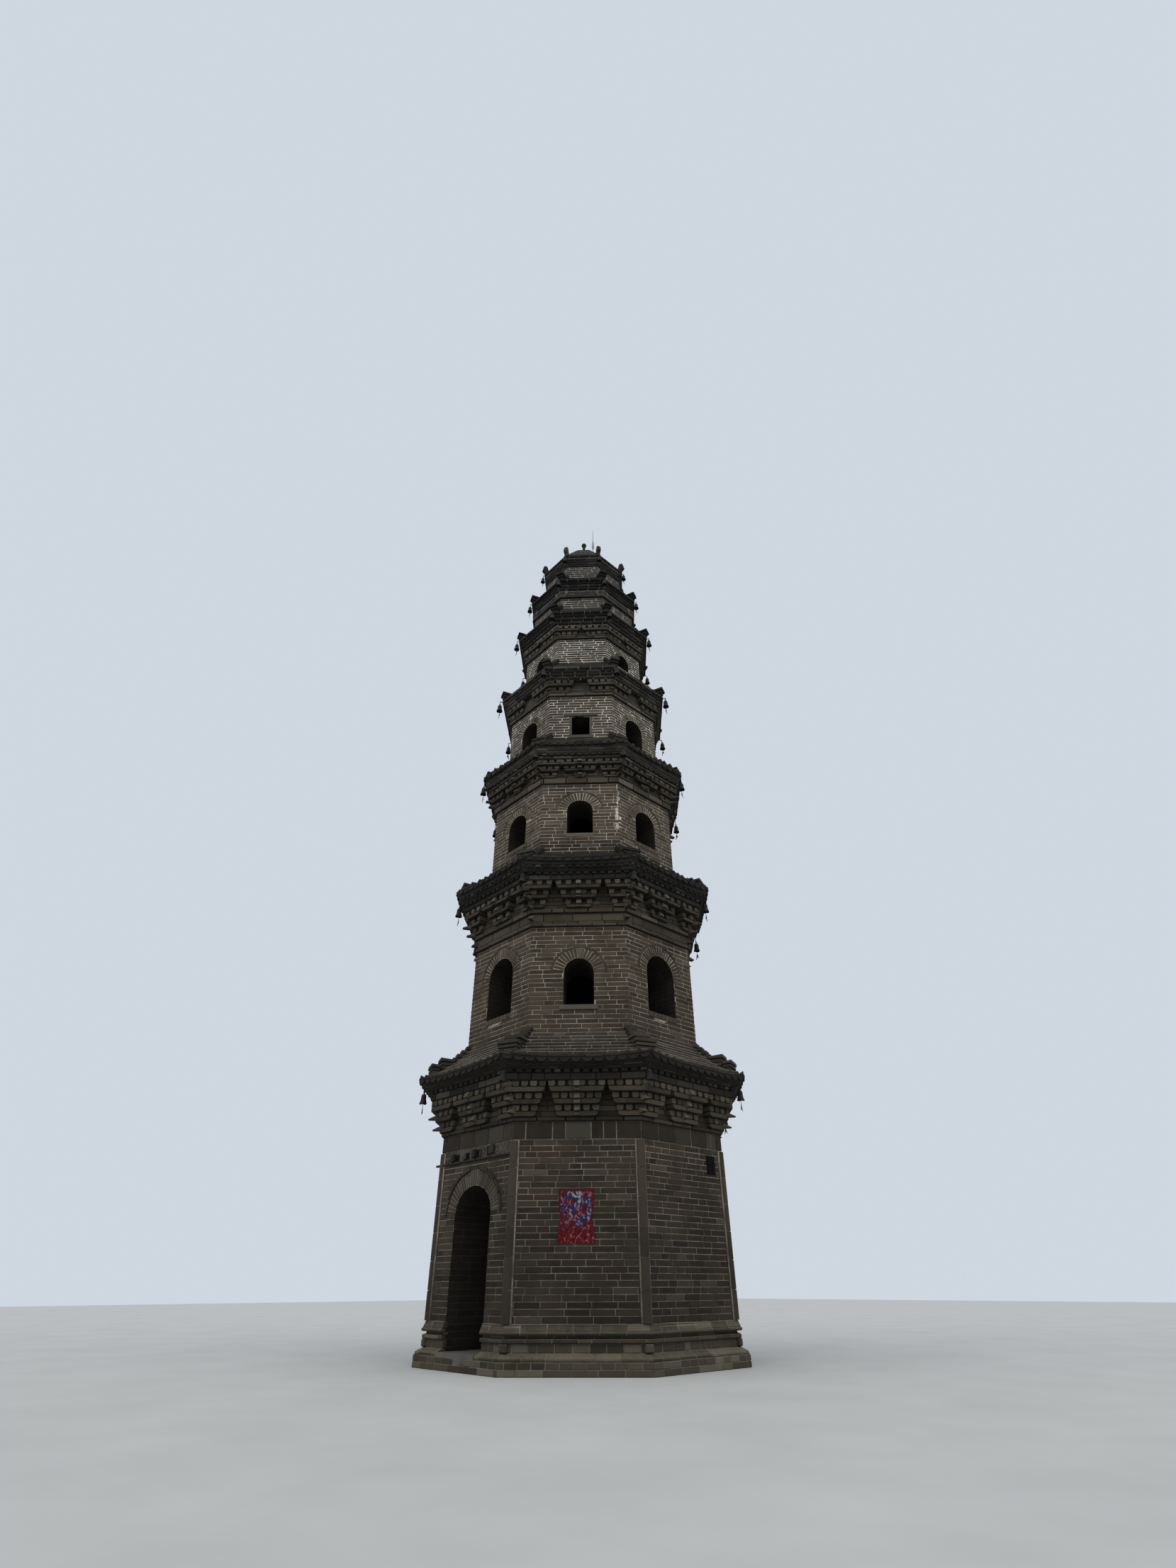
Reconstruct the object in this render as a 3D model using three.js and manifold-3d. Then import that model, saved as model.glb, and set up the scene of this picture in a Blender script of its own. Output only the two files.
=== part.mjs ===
// Seven-storey octagonal brick pagoda. Millimetres, +Z up, the doorway towards -Y.
// The tower is a stack of masonry rings round a hollow core, with solid brickwork above storey five.
import * as THREE from 'three';
import { mergeVertices } from 'three/addons/utils/BufferGeometryUtils.js';
import Module from 'manifold-3d';

const wasm = await Module();
wasm.setup();

// Driving dimensions: every radius is measured from the tower's axis to a corner of the octagon
const SIDES = 8;
const HALF_SIDE = Math.PI / SIDES;
const TO_FACE = Math.cos(HALF_SIDE);
const JOINT = 0.3;
const ROUND_STEPS = 4;

const PLINTH = { radius: 2760, top: 158 };
const PEDESTAL = {
  foot: 2740, footTop: 194, waist: 2610, waistBottom: 245, waistTop: 347, fillet: 2650, fillTop: 400,
  neck: 2590, neckTop: 438, roll: 2670, rollTop: 485, top: 566,
};
const CORE = [1407, 1353, 1299, 1190, 974];
const FLOOR = { thickness: 120, bearing: 100 };
const DOOR = { azimuth: 0, width: 970, sill: 205, spring: 1960, top: 2350, stepDrop: 100 };
const COLUMN = { radius: 75, centre: 2570, steps: 16 };
const FRIEZE = { bottom: 2905, radius: 2615 };

// One entry a storey, from the ground up. Each base is also the top of the roof below it.
const STOREYS = [
  { base: 566, radius: 2600, wallTop: 3160, bracketBottom: 3224, bracketTop: 3730, corniceTop: 3893,
    edgeBottom: 3965, edgeTop: 4060, tip: 3170, lift: 75, roofTop: 4620, tiers: 3, project: 280 },
  { base: 4620, radius: 2330, wallTop: 6590, bracketBottom: 6957, bracketTop: 7446, corniceTop: 7601,
    edgeBottom: 7760, edgeTop: 7850, tip: 2880, lift: 60, roofTop: 8260, tiers: 3, project: 290 },
  { base: 8260, radius: 2140, wallTop: 10000, bracketBottom: 10140, bracketTop: 10470, corniceTop: 10600,
    edgeBottom: 10840, edgeTop: 10935, tip: 2530, lift: 50, roofTop: 11400, tiers: 2, project: 180 },
  { base: 11400, radius: 1930, wallTop: 12709, bracketBottom: 12794, bracketTop: 13113, corniceTop: 13113,
    edgeBottom: 13390, edgeTop: 13480, tip: 2240, lift: 0, roofTop: 14060, tiers: 2, project: 120 },
  { base: 14060, radius: 1640, wallTop: 14937, bracketBottom: 14995, bracketTop: 15368, corniceTop: 15368,
    edgeBottom: 15700, edgeTop: 15790, tip: 1920, lift: 0, roofTop: 16240, tiers: 2, project: 110 },
  { base: 16240, radius: 1500, wallTop: 16690, bracketBottom: 16740, bracketTop: 16977, corniceTop: 16977,
    edgeBottom: 17330, edgeTop: 17420, tip: 1620, lift: 0, roofTop: 17880, tiers: 1, project: 40 },
  { base: 17880, radius: 1170, wallTop: 18400, corniceTop: 18400, edgeBottom: 18750, edgeTop: 18860,
    tip: 1280, lift: 0 },
];
const STRING = { project: 50 };
const BRACKET = { gapBottom: [0.30, 0.58], gapTop: [0.39, 0.44], beak: 150, beakWidth: 90, lastBeaks: 3 };
// From storey four up only the corners have a set: half the gap between two sets, at its foot and its head
const CORNER_GAPS = { 4: [270, 190], 5: [135, 30], 6: [400, 400] };
const FLAT_COURSE = { share: 0.65, project: 30 };

// Windows: faces that look along X or Y, and those between them
const SQUARE_ON = [0, 90, 180, 270];
const DIAGONAL = [45, 135, 225, 315];
const WINDOWS = [
  { storey: 2, faces: DIAGONAL, width: 555, sill: 5120, spring: 5710, top: 5980 },
  { storey: 2, faces: SQUARE_ON, width: 750, sill: 5110, spring: 5860, top: 6235 },
  { storey: 3, faces: DIAGONAL, width: 550, sill: 8775, spring: 9350, top: 9590 },
  { storey: 3, faces: SQUARE_ON, width: 600, sill: 8760, spring: 9310, top: 9585 },
  { storey: 4, faces: DIAGONAL, width: 425, sill: 11540, spring: 12100, top: 12100 },
  { storey: 4, faces: SQUARE_ON, width: 560, sill: 11540, spring: 12050, top: 12330 },
  { storey: 5, faces: SQUARE_ON, width: 420, sill: 14250, spring: 14450, top: 14730 },
];

// The roofs' slopes: brick courses that step in along a hollow curve from the edge to the next storey's wall
const SLOPE = { course: 80, outside: 40, inside: 50, start: 0.35, hollow: 1.3 };

// On each corner of a roof a hip runs down from the wall: outer radius, height there, height at the wall.
// Then come blocks: inner radius, outer radius, top height. From roof four up the block flares outwards.
const HIP_WIDTH = 190;
const HIPS = [[2620, 4520, 4760], [2290, 8270, 8420], [2200, 11330, 11560], [1990, 13770, 14250],
  [1720, 16080, 16400], [1400, 17740, 18010]];
const BLOCK = { widths: [360, 360, 270, 210, 210, 210], lastFlat: 3, flare: 20, foot: 50 };
const BLOCKS = [
  [[2600, 2870, 4490], [2860, 3030, 4370]],
  [[2270, 2440, 8240], [2430, 2790, 8120]],
  [[2180, 2320, 11240], [2310, 2480, 11090]],
  [[2000, 2260, 13700]],
  [[1730, 1940, 16000]],
  [[1400, 1630, 17670]],
];

const DOME = [
  [1250, 18860], [1110, 19080], [925, 19360], [725, 19660], [550, 19920], [390, 20140], [230, 20320],
  [70, 20440],
];
const ORNAMENT = { radius: 1180, width: 120, depth: 150, height: 370, lean: 60 };
const FINIAL = { bottom: 20440, neck: 45, ball: 78, ballCentre: 20830 };
const ROD = { x: 200, y: 215, thin: 12, foot: 20080, swellBottom: 20600, swellTop: 21100, swell: 43,
  tip: 21680, steps: 10 };

const BELL = {
  radius: 3060, eye: 3885, pin: 6, rod: 7, eyeOuter: 21, eyeThickness: 12,
  body: 162, mouth: 67, shoulder: 42, wall: 7, clapperRod: 4, plateHeight: 105, plateWidth: 110,
  plateDrop: 67, plateThickness: 8,
};

const COLOURS = {
  brick: [0x6e6a60, 0.95, 0], darkBrick: [0x3f3e3b, 0.95, 0], stone: [0x8d8f92, 0.8, 0],
  timber: [0x5a4632, 0.85, 0], iron: [0x232326, 0.6, 0.8], steel: [0x8a8d90, 0.45, 0.9],
};

const group = new THREE.Group();

function solid(geometry) {
  const bare = geometry.clone();
  bare.deleteAttribute('normal');
  bare.deleteAttribute('uv');
  const merged = mergeVertices(bare, 1e-3);
  const vertProperties = new Float32Array(merged.attributes.position.array);
  const triVerts = new Uint32Array(merged.index.array);
  const body = new wasm.Manifold(new wasm.Mesh({ numProp: 3, vertProperties, triVerts }));
  return body;
}

function geometryOf(body) {
  const mesh = body.getMesh();
  const geometry = new THREE.BufferGeometry();
  geometry.setAttribute('position', new THREE.BufferAttribute(new Float32Array(mesh.vertProperties), 3));
  geometry.setIndex(new THREE.BufferAttribute(new Uint32Array(mesh.triVerts), 1));
  geometry.computeVertexNormals();
  return geometry;
}

function addPiece(name, body, look) {
  const [color, roughness, metalness] = COLOURS[look];
  const material = new THREE.MeshStandardMaterial({ color, roughness, metalness });
  const mesh = new THREE.Mesh(geometryOf(body), material);
  mesh.name = name;
  group.add(mesh);
}

// A ring, or a whole body where the profile starts on the axis, with eight sides.
// Profile points are [corner radius, height].
function octagon(profile, steps = 1, lift = null) {
  const points = [...profile, profile[0]].map(([r, z]) => new THREE.Vector2(r, z));
  const geometry = new THREE.LatheGeometry(points, SIDES * steps, HALF_SIDE);
  geometry.rotateX(Math.PI / 2);
  if (steps === 1) return solid(geometry);
  const position = geometry.attributes.position;
  for (let i = 0; i < position.count; i += 1) {
    const x = position.getX(i);
    const y = position.getY(i);
    const r = Math.hypot(x, y);
    const turn = Math.atan2(x, -y) + 4 * Math.PI;
    const across = (turn + HALF_SIDE) % (2 * HALF_SIDE) - HALF_SIDE;
    const squared = TO_FACE / Math.cos(across);
    const rise = lift ? lift(r, Math.abs(across) / HALF_SIDE) : 0;
    position.setXYZ(i, x * squared, y * squared, position.getZ(i) + rise);
  }
  return solid(geometry);
}

// A round solid of revolution, its profile from the axis back to the axis
function turned(profile, steps, x = 0, y = 0) {
  const points = profile.map(([r, z]) => new THREE.Vector2(r, z));
  const geometry = new THREE.LatheGeometry(points, steps);
  geometry.rotateX(Math.PI / 2);
  geometry.translate(x, y, 0);
  return solid(geometry);
}

function ring(inner, outer, bottom, top) {
  return octagon([[inner, bottom], [outer, bottom], [outer, top], [inner, top]]);
}

// A flat outline given as across and height, swept outwards from one distance to another on a face
function onFace(shape, near, far, azimuth) {
  const settings = { depth: far - near, bevelEnabled: false, curveSegments: 5 };
  const geometry = new THREE.ExtrudeGeometry(shape, settings);
  geometry.rotateX(Math.PI / 2);
  geometry.translate(0, -near, 0);
  geometry.rotateZ(THREE.MathUtils.degToRad(azimuth));
  return solid(geometry);
}

// An outline given as outward distance and height, with a thickness across, on a face or corner
function radialPlate(shape, thickness, azimuth, across = 0) {
  const settings = { depth: thickness, bevelEnabled: false, curveSegments: 4 };
  const geometry = new THREE.ExtrudeGeometry(shape, settings);
  geometry.translate(0, 0, -thickness / 2);
  geometry.rotateX(Math.PI / 2);
  geometry.rotateZ(-Math.PI / 2);
  geometry.translate(across, 0, 0);
  geometry.rotateZ(THREE.MathUtils.degToRad(azimuth));
  return solid(geometry);
}

function rectangle(left, right, bottom, top) {
  return polygon([[left, bottom], [right, bottom], [right, top], [left, top]]);
}

function polygon(corners) {
  const shape = new THREE.Shape();
  shape.moveTo(...corners[0]);
  for (const corner of corners.slice(1)) shape.lineTo(...corner);
  shape.closePath();
  return shape;
}

function archShape(width, bottom, spring, top) {
  const shape = new THREE.Shape();
  shape.moveTo(-width / 2, bottom);
  shape.lineTo(width / 2, bottom);
  shape.lineTo(width / 2, spring);
  if (top > spring) shape.absellipse(0, spring, width / 2, top - spring, 0, Math.PI, false, 0);
  else shape.lineTo(-width / 2, spring);
  shape.closePath();
  return shape;
}

// A tall wedge between two azimuths, its edge moved outwards or inwards along the middle
function wedge(from, to, shift) {
  const reach = 6000;
  const middle = THREE.MathUtils.degToRad((from + to) / 2);
  const corners = [[0, 0]];
  for (const degrees of [from, to]) {
    const angle = THREE.MathUtils.degToRad(degrees);
    corners.push([reach * Math.sin(angle), -reach * Math.cos(angle)]);
  }
  const [awayX, awayY] = [shift * Math.sin(middle), -shift * Math.cos(middle)];
  const shape = polygon(corners.map(([x, y]) => [x + awayX, y + awayY]));
  return solid(new THREE.ExtrudeGeometry(shape, { depth: 20000, bevelEnabled: false }));
}

function corners() {
  return Array.from({ length: SIDES }, (_, i) => 22.5 + 45 * i);
}

function faces() {
  return Array.from({ length: SIDES }, (_, i) => 45 * i);
}

// Ground works
const doorGap = onFace(rectangle(-DOOR.width / 2, DOOR.width / 2, PLINTH.top, PEDESTAL.top), 1000, 3200,
  DOOR.azimuth);
const stepOuter = PLINTH.radius * TO_FACE;
const stepInner = CORE[0] * TO_FACE + JOINT;
const stepSeat = onFace(rectangle(-DOOR.width / 2, DOOR.width / 2, DOOR.sill - DOOR.stepDrop, DOOR.sill),
  stepInner - JOINT, stepOuter + 1, DOOR.azimuth);
addPiece('plinth', octagon([[0, 0], [PLINTH.radius, 0], [PLINTH.radius, PLINTH.top], [0, PLINTH.top]])
  .subtract(stepSeat), 'brick');
addPiece('doorstep', onFace(rectangle(-DOOR.width / 2 + JOINT, DOOR.width / 2 - JOINT,
  DOOR.sill - DOOR.stepDrop + JOINT, DOOR.sill), stepInner, stepOuter, DOOR.azimuth), 'stone');
addPiece('ground_floor', octagon([[0, PLINTH.top + JOINT], [CORE[0] - JOINT, PLINTH.top + JOINT],
  [CORE[0] - JOINT, DOOR.sill], [0, DOOR.sill]]), 'brick');

const p = PEDESTAL;
const pedestalBase = octagon([[CORE[0], PLINTH.top + JOINT], [p.foot, PLINTH.top + JOINT],
  [p.foot, p.footTop], [p.waist, p.waistBottom], [p.waist, p.waistTop], [p.fillet, p.waistTop + 15],
  [p.fillet, p.fillTop], [CORE[0], p.fillTop]]);
addPiece('pedestal_base', pedestalBase.subtract(doorGap), 'brick');
const pedestalCap = octagon([[CORE[0], p.fillTop + JOINT], [p.neck, p.fillTop + JOINT], [p.neck, p.neckTop],
  [p.roll - 15, p.neckTop], [p.roll, (p.neckTop + p.rollTop) / 2], [p.roll - 15, p.rollTop],
  [p.waist + 45, p.rollTop], [p.waist + 10, p.top], [CORE[0], p.top]]);
addPiece('pedestal_cap', pedestalCap.subtract(doorGap), 'brick');

// Storey one: three wall pieces, then the corner columns that hang from the frieze
const first = STOREYS[0];
function column(azimuth, radius, bottom, top) {
  const geometry = new THREE.CylinderGeometry(radius, radius, top - bottom, COLUMN.steps);
  geometry.rotateX(Math.PI / 2);
  geometry.translate(0, -COLUMN.centre, (top + bottom) / 2);
  geometry.rotateZ(THREE.MathUtils.degToRad(azimuth));
  return solid(geometry);
}

let wallOne = ring(CORE[0], first.radius, first.base + JOINT, FRIEZE.bottom - JOINT);
let columns = ring(CORE[0], FRIEZE.radius, FRIEZE.bottom, first.wallTop - JOINT);
for (const azimuth of corners()) {
  wallOne = wallOne.subtract(column(azimuth, COLUMN.radius + JOINT, first.base - 10, FRIEZE.bottom));
  columns = columns.add(column(azimuth, COLUMN.radius, first.base + JOINT, first.wallTop - JOINT));
}
wallOne = wallOne.subtract(onFace(archShape(DOOR.width, first.base - 10, DOOR.spring, DOOR.top), 1000, 3000,
  DOOR.azimuth));
const narrowShift = JOINT / Math.sin(HALF_SIDE);
addPiece('wall_1_door', wallOne.intersect(wedge(-22.5, 22.5, narrowShift)), 'brick');
addPiece('wall_1_front_right', wallOne.intersect(wedge(22.5, 67.5, narrowShift)), 'brick');
addPiece('wall_1_rear', wallOne.subtract(wedge(-22.5, 67.5, 0)), 'brick');
addPiece('columns_and_frieze', columns, 'brick');

// Storeys two to five: a floor, a front wall of three faces and a rear wall of five, with their windows
function windowCuts(storey) {
  const cuts = [];
  for (const w of WINDOWS.filter((entry) => entry.storey === storey)) {
    for (const azimuth of w.faces) {
      cuts.push(onFace(archShape(w.width, w.sill, w.spring, w.top), 500, 3000, azimuth));
    }
  }
  return cuts;
}

for (let n = 2; n <= 5; n += 1) {
  const s = STOREYS[n - 1];
  const inner = CORE[n - 1];
  const ledge = CORE[n - 2] + FLOOR.bearing;
  const floorTop = s.base + FLOOR.thickness;
  let wall = octagon([[ledge + JOINT, s.base + JOINT], [s.radius, s.base + JOINT],
    [s.radius, s.wallTop - JOINT], [inner, s.wallTop - JOINT], [inner, floorTop + JOINT],
    [ledge + JOINT, floorTop + JOINT]]);
  for (const cut of windowCuts(n)) wall = wall.subtract(cut);
  addPiece(`floor_${n}`, ring(0, ledge, s.base + JOINT, floorTop), 'timber');
  addPiece(`wall_${n}_front`, wall.intersect(wedge(-67.5, 67.5, JOINT)), 'brick');
  addPiece(`wall_${n}_rear`, wall.subtract(wedge(-67.5, 67.5, 0)), 'brick');
}

// Storeys six and seven: solid brickwork, with no opening
for (const n of [6, 7]) {
  const s = STOREYS[n - 1];
  addPiece(`wall_${n}`, ring(0, s.radius, s.base + JOINT, s.wallTop - JOINT), 'brick');
}

// Bracket courses: a string course, then stepped tiers cut into one middle set and two corner sets a face
function bracketCourse(n) {
  const s = STOREYS[n - 1];
  const inner = CORE[n - 1] || 0;
  const back = s.radius + 20;
  const tierHeight = (s.bracketTop - s.bracketBottom) / s.tiers;
  const profile = [[inner, s.wallTop], [s.radius + STRING.project, s.wallTop],
    [s.radius + STRING.project, s.bracketBottom]];
  for (let t = 1; t <= s.tiers; t += 1) {
    const reach = back + s.project * t / s.tiers;
    profile.push([reach, s.bracketBottom + tierHeight * (t - 1)]);
    profile.push([reach, s.bracketBottom + tierHeight * t]);
  }
  profile[profile.length - 1][1] -= JOINT;
  profile.push([inner, s.bracketTop - JOINT]);
  let body = octagon(profile);
  if (CORNER_GAPS[n]) {
    const [foot, head] = CORNER_GAPS[n];
    const gap = polygon([[-foot, s.bracketBottom], [foot, s.bracketBottom], [head, s.bracketTop + 1],
      [-head, s.bracketTop + 1]]);
    for (const azimuth of faces()) body = body.subtract(onFace(gap, back * TO_FACE, 3400, azimuth));
    return body;
  }
  const half = (back + s.project / 2) * Math.sin(HALF_SIDE);
  for (const azimuth of faces()) {
    for (const side of [-1, 1]) {
      const cut = [[BRACKET.gapBottom[0], s.bracketBottom], [BRACKET.gapBottom[1], s.bracketBottom],
        [BRACKET.gapTop[1], s.bracketTop + 1], [BRACKET.gapTop[0], s.bracketTop + 1]];
      const outline = cut.map(([share, z]) => [side * share * half, z]);
      if (side < 0) outline.reverse();
      body = body.subtract(onFace(polygon(outline), back * TO_FACE, 3400, azimuth));
    }
  }
  if (n > BRACKET.lastBeaks) return body;
  for (const azimuth of corners()) {
    for (let t = 1; t < s.tiers; t += 1) {
      const reach = back + s.project * t / s.tiers;
      const z = s.bracketBottom + tierHeight * t;
      const beak = polygon([[reach - 60, z - 50], [reach + BRACKET.beak * 0.8, z - 50], [reach - 20, z + 40],
        [reach - 60, z + 40]]);
      body = body.add(radialPlate(beak, BRACKET.beakWidth, azimuth));
    }
  }
  return body;
}
for (let n = 1; n <= 6; n += 1) addPiece(`brackets_${n}`, bracketCourse(n), 'darkBrick');

// Cornices: a flat course under the rafter-end course
for (let n = 1; n <= 3; n += 1) {
  const s = STOREYS[n - 1];
  const reach = s.radius + 20 + s.project + FLAT_COURSE.project;
  const split = s.bracketTop + (s.corniceTop - s.bracketTop) * FLAT_COURSE.share;
  const body = octagon([[CORE[n - 1], s.bracketTop], [reach, s.bracketTop], [reach, split],
    [reach + 30, split], [reach + 30, s.corniceTop - JOINT], [CORE[n - 1], s.corniceTop - JOINT]]);
  addPiece(`cornice_${n}`, body, 'darkBrick');
}

// Roofs: corbel courses, an edge that lifts towards its corners, the stepped slope, and hips with blocks
function ridgeBlock(n, azimuth, inner, outer, bottom, top) {
  const half = BLOCK.widths[n - 1] / 2;
  if (n > BLOCK.lastFlat) {
    const foot = outer - BLOCK.foot;
    const side = polygon([[inner, bottom], [foot, bottom], [foot, STOREYS[n - 1].edgeTop],
      [outer + BLOCK.flare, top], [inner, top]]);
    return radialPlate(side, 2 * half, azimuth);
  }
  const corner = half / 2;
  const front = polygon([[-half, bottom], [half, bottom], [half, top - corner], [half - corner, top],
    [corner - half, top], [-half, top - corner]]);
  return onFace(front, inner, outer, azimuth);
}

function roof(n) {
  const s = STOREYS[n - 1];
  const next = STOREYS[n];
  const inner = CORE[n - 1] || 0;
  const under = n <= 3 ? s.radius + 20 + s.project + FLAT_COURSE.project + 30 : s.radius + 20 + s.project;
  const courses = 3;
  const rise = (s.edgeBottom - s.corniceTop) / courses;
  const run = (s.tip - 60 - under) / courses;
  const profile = [[inner, s.corniceTop], [under, s.corniceTop]];
  for (let c = 0; c < courses; c += 1) {
    profile.push([under + run * (c + 1), s.corniceTop + rise * c + 1]);
    profile.push([under + run * (c + 1), s.corniceTop + rise * (c + 1)]);
  }
  profile.push([s.tip, s.edgeBottom], [s.tip, s.edgeTop]);
  const steps = Math.round((s.roofTop - s.edgeTop) / SLOPE.course);
  const step = (s.roofTop - s.edgeTop) / steps;
  const wallSide = next.radius + SLOPE.inside;
  const depth = s.tip - SLOPE.outside - wallSide;
  for (let c = 0; c < steps; c += 1) {
    const reach = wallSide + depth * (1 - (c + SLOPE.start) / steps) ** SLOPE.hollow;
    profile.push([reach, s.edgeTop + step * c], [reach, s.edgeTop + step * (c + 1)]);
  }
  profile[profile.length - 1][1] -= JOINT;
  profile.push([inner, s.roofTop - JOINT]);
  const lift = (r, t) => s.lift * t ** 3 * THREE.MathUtils.clamp((r - under) / (s.tip - under), 0, 1);
  let body = s.lift > 0 ? octagon(profile, ROUND_STEPS, lift) : octagon(profile);
  const sunk = s.edgeBottom + s.lift + 10;
  const [hipEnd, hipFoot, hipHead] = HIPS[n - 1];
  const wall = next.radius + JOINT;
  const hip = polygon([[wall, sunk], [hipEnd, sunk], [hipEnd, hipFoot], [wall, hipHead]]);
  for (const azimuth of corners()) {
    body = body.add(radialPlate(hip, HIP_WIDTH, azimuth));
    for (const [from, to, top] of BLOCKS[n - 1]) {
      body = body.add(ridgeBlock(n, azimuth, from, to, sunk, top));
    }
  }
  return body;
}

// Bell hooks: a rod down from the corner, then a short pin across that carries the bell's eye
function bellHook(azimuth) {
  const top = STOREYS[0].edgeBottom + 60;
  const across = BELL.eyeThickness / 2 + 12;
  const rod = radialPlate(rectangle(BELL.radius - BELL.rod, BELL.radius + BELL.rod, BELL.eye - BELL.rod, top),
    2 * BELL.rod, azimuth, across);
  const pinLength = 2 * across;
  const pin = new THREE.CylinderGeometry(BELL.pin, BELL.pin, pinLength, 8);
  pin.rotateZ(Math.PI / 2);
  pin.translate(0, -BELL.radius, BELL.eye);
  pin.rotateZ(THREE.MathUtils.degToRad(azimuth));
  return rod.add(solid(pin));
}

for (let n = 1; n <= 6; n += 1) {
  let body = roof(n);
  if (n === 1) {
    for (const azimuth of corners()) body = body.add(bellHook(azimuth));
  }
  addPiece(`roof_${n}`, body, 'brick');
}

// Top: corbelled eave, domed roof with corner ornaments, finial and lightning rod
const top = STOREYS[6];
const topProfile = [[0, top.corniceTop]];
const topCourses = 4;
for (let c = 0; c < topCourses; c += 1) {
  const reach = top.radius + 10 + (top.tip - top.radius - 10) * (c + 1) / topCourses;
  const rise = (top.edgeBottom - top.corniceTop) / topCourses;
  topProfile.push([reach, top.corniceTop + rise * c], [reach, top.corniceTop + rise * (c + 1)]);
}
topProfile.push([top.tip, top.edgeTop - JOINT], [0, top.edgeTop - JOINT]);
addPiece('eave_7', octagon(topProfile), 'darkBrick');

let dome = octagon([[0, top.edgeTop], ...DOME, [0, DOME[DOME.length - 1][1]]]);
for (const azimuth of corners()) {
  const o = ORNAMENT;
  const near = o.radius - o.depth / 2;
  const far = o.radius + o.depth / 2;
  const shoulder = top.edgeTop + o.height - 60;
  const outline = polygon([[near, top.edgeTop + 20], [far, top.edgeTop + 20], [far + o.lean, shoulder],
    [o.radius + o.lean, top.edgeTop + o.height], [near + o.lean, shoulder], [near - 60, top.edgeTop + 200]]);
  dome = dome.add(radialPlate(outline, o.width, azimuth));
}
const seatTop = ROD.foot + 600;
const seatRadius = ROD.thin + JOINT;
const rodSeat = turned([[0, ROD.foot], [seatRadius, ROD.foot], [seatRadius, seatTop], [0, seatTop]],
  ROD.steps, ROD.x, ROD.y);
addPiece('dome', dome.subtract(rodSeat), 'darkBrick');

const ballPoints = [];
for (let i = 1; i <= 6; i += 1) {
  const angle = -Math.PI / 2 + Math.PI * (i + 1) / 7;
  ballPoints.push([FINIAL.ball * Math.cos(angle), FINIAL.ballCentre + FINIAL.ball * Math.sin(angle)]);
}
ballPoints.pop();
addPiece('finial', turned([[0, FINIAL.bottom + JOINT], [FINIAL.neck + 30, FINIAL.bottom + JOINT],
  [FINIAL.neck, FINIAL.bottom + 60], [FINIAL.neck - 5, FINIAL.ballCentre - FINIAL.ball + 10], ...ballPoints,
  [0, FINIAL.ballCentre + FINIAL.ball]], 16), 'stone');
addPiece('lightning_rod', turned([[0, ROD.foot + JOINT], [ROD.thin, ROD.foot + JOINT],
  [ROD.thin, ROD.swellBottom], [ROD.swell, ROD.swellBottom + 160], [ROD.swell * 0.8, ROD.swellTop - 160],
  [ROD.thin, ROD.swellTop], [ROD.thin * 0.5, ROD.tip - 60], [0, ROD.tip]], ROD.steps, ROD.x, ROD.y), 'steel');

// Bells of the first eave: an eye on the hook's pin, the hollow body, and the clapper rod with its plate
function bell(azimuth) {
  const b = BELL;
  const crown = b.eye - b.eyeOuter - 12;
  const mouth = crown - b.body;
  const plateTop = mouth - b.plateDrop;
  const profile = [[0, plateTop - 20], [b.clapperRod, plateTop - 20], [b.clapperRod, crown - b.wall],
    [b.shoulder - b.wall, crown - b.wall - 8], [b.mouth - b.wall - 8, mouth + 25], [b.mouth - b.wall, mouth],
    [b.mouth, mouth], [b.mouth - 10, mouth + 30], [b.shoulder, crown - 12], [b.shoulder - 12, crown],
    [10, crown + 4], [0, crown + 4]];
  const body = turned(profile, 8);
  const eye = new THREE.Shape();
  eye.absarc(0, b.eye, b.eyeOuter, 0, 2 * Math.PI, false);
  const hole = new THREE.Path();
  const holeRadius = (b.pin + JOINT) / TO_FACE;
  hole.absarc(0, b.eye, holeRadius, 0, 2 * Math.PI, true);
  eye.holes.push(hole);
  const loop = radialPlate(eye, b.eyeThickness, 0);
  const neck = radialPlate(rectangle(-10, 10, crown - 4, b.eye - holeRadius - 4), b.eyeThickness, 0);
  const w = b.plateWidth / 2;
  const h = b.plateHeight;
  const tail = polygon([[-12, plateTop], [-w, plateTop - h], [0, plateTop - h * 0.62], [w, plateTop - h],
    [12, plateTop]]);
  const plate = onFace(tail, -b.plateThickness / 2, b.plateThickness / 2, 0);
  const whole = body.add(loop).add(neck).add(plate).translate([0, -b.radius, 0]);
  return whole.rotate([0, 0, azimuth]);
}
corners().forEach((azimuth, i) => addPiece(`bell_${i + 1}`, bell(azimuth), 'iron'));

export default group;
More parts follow.
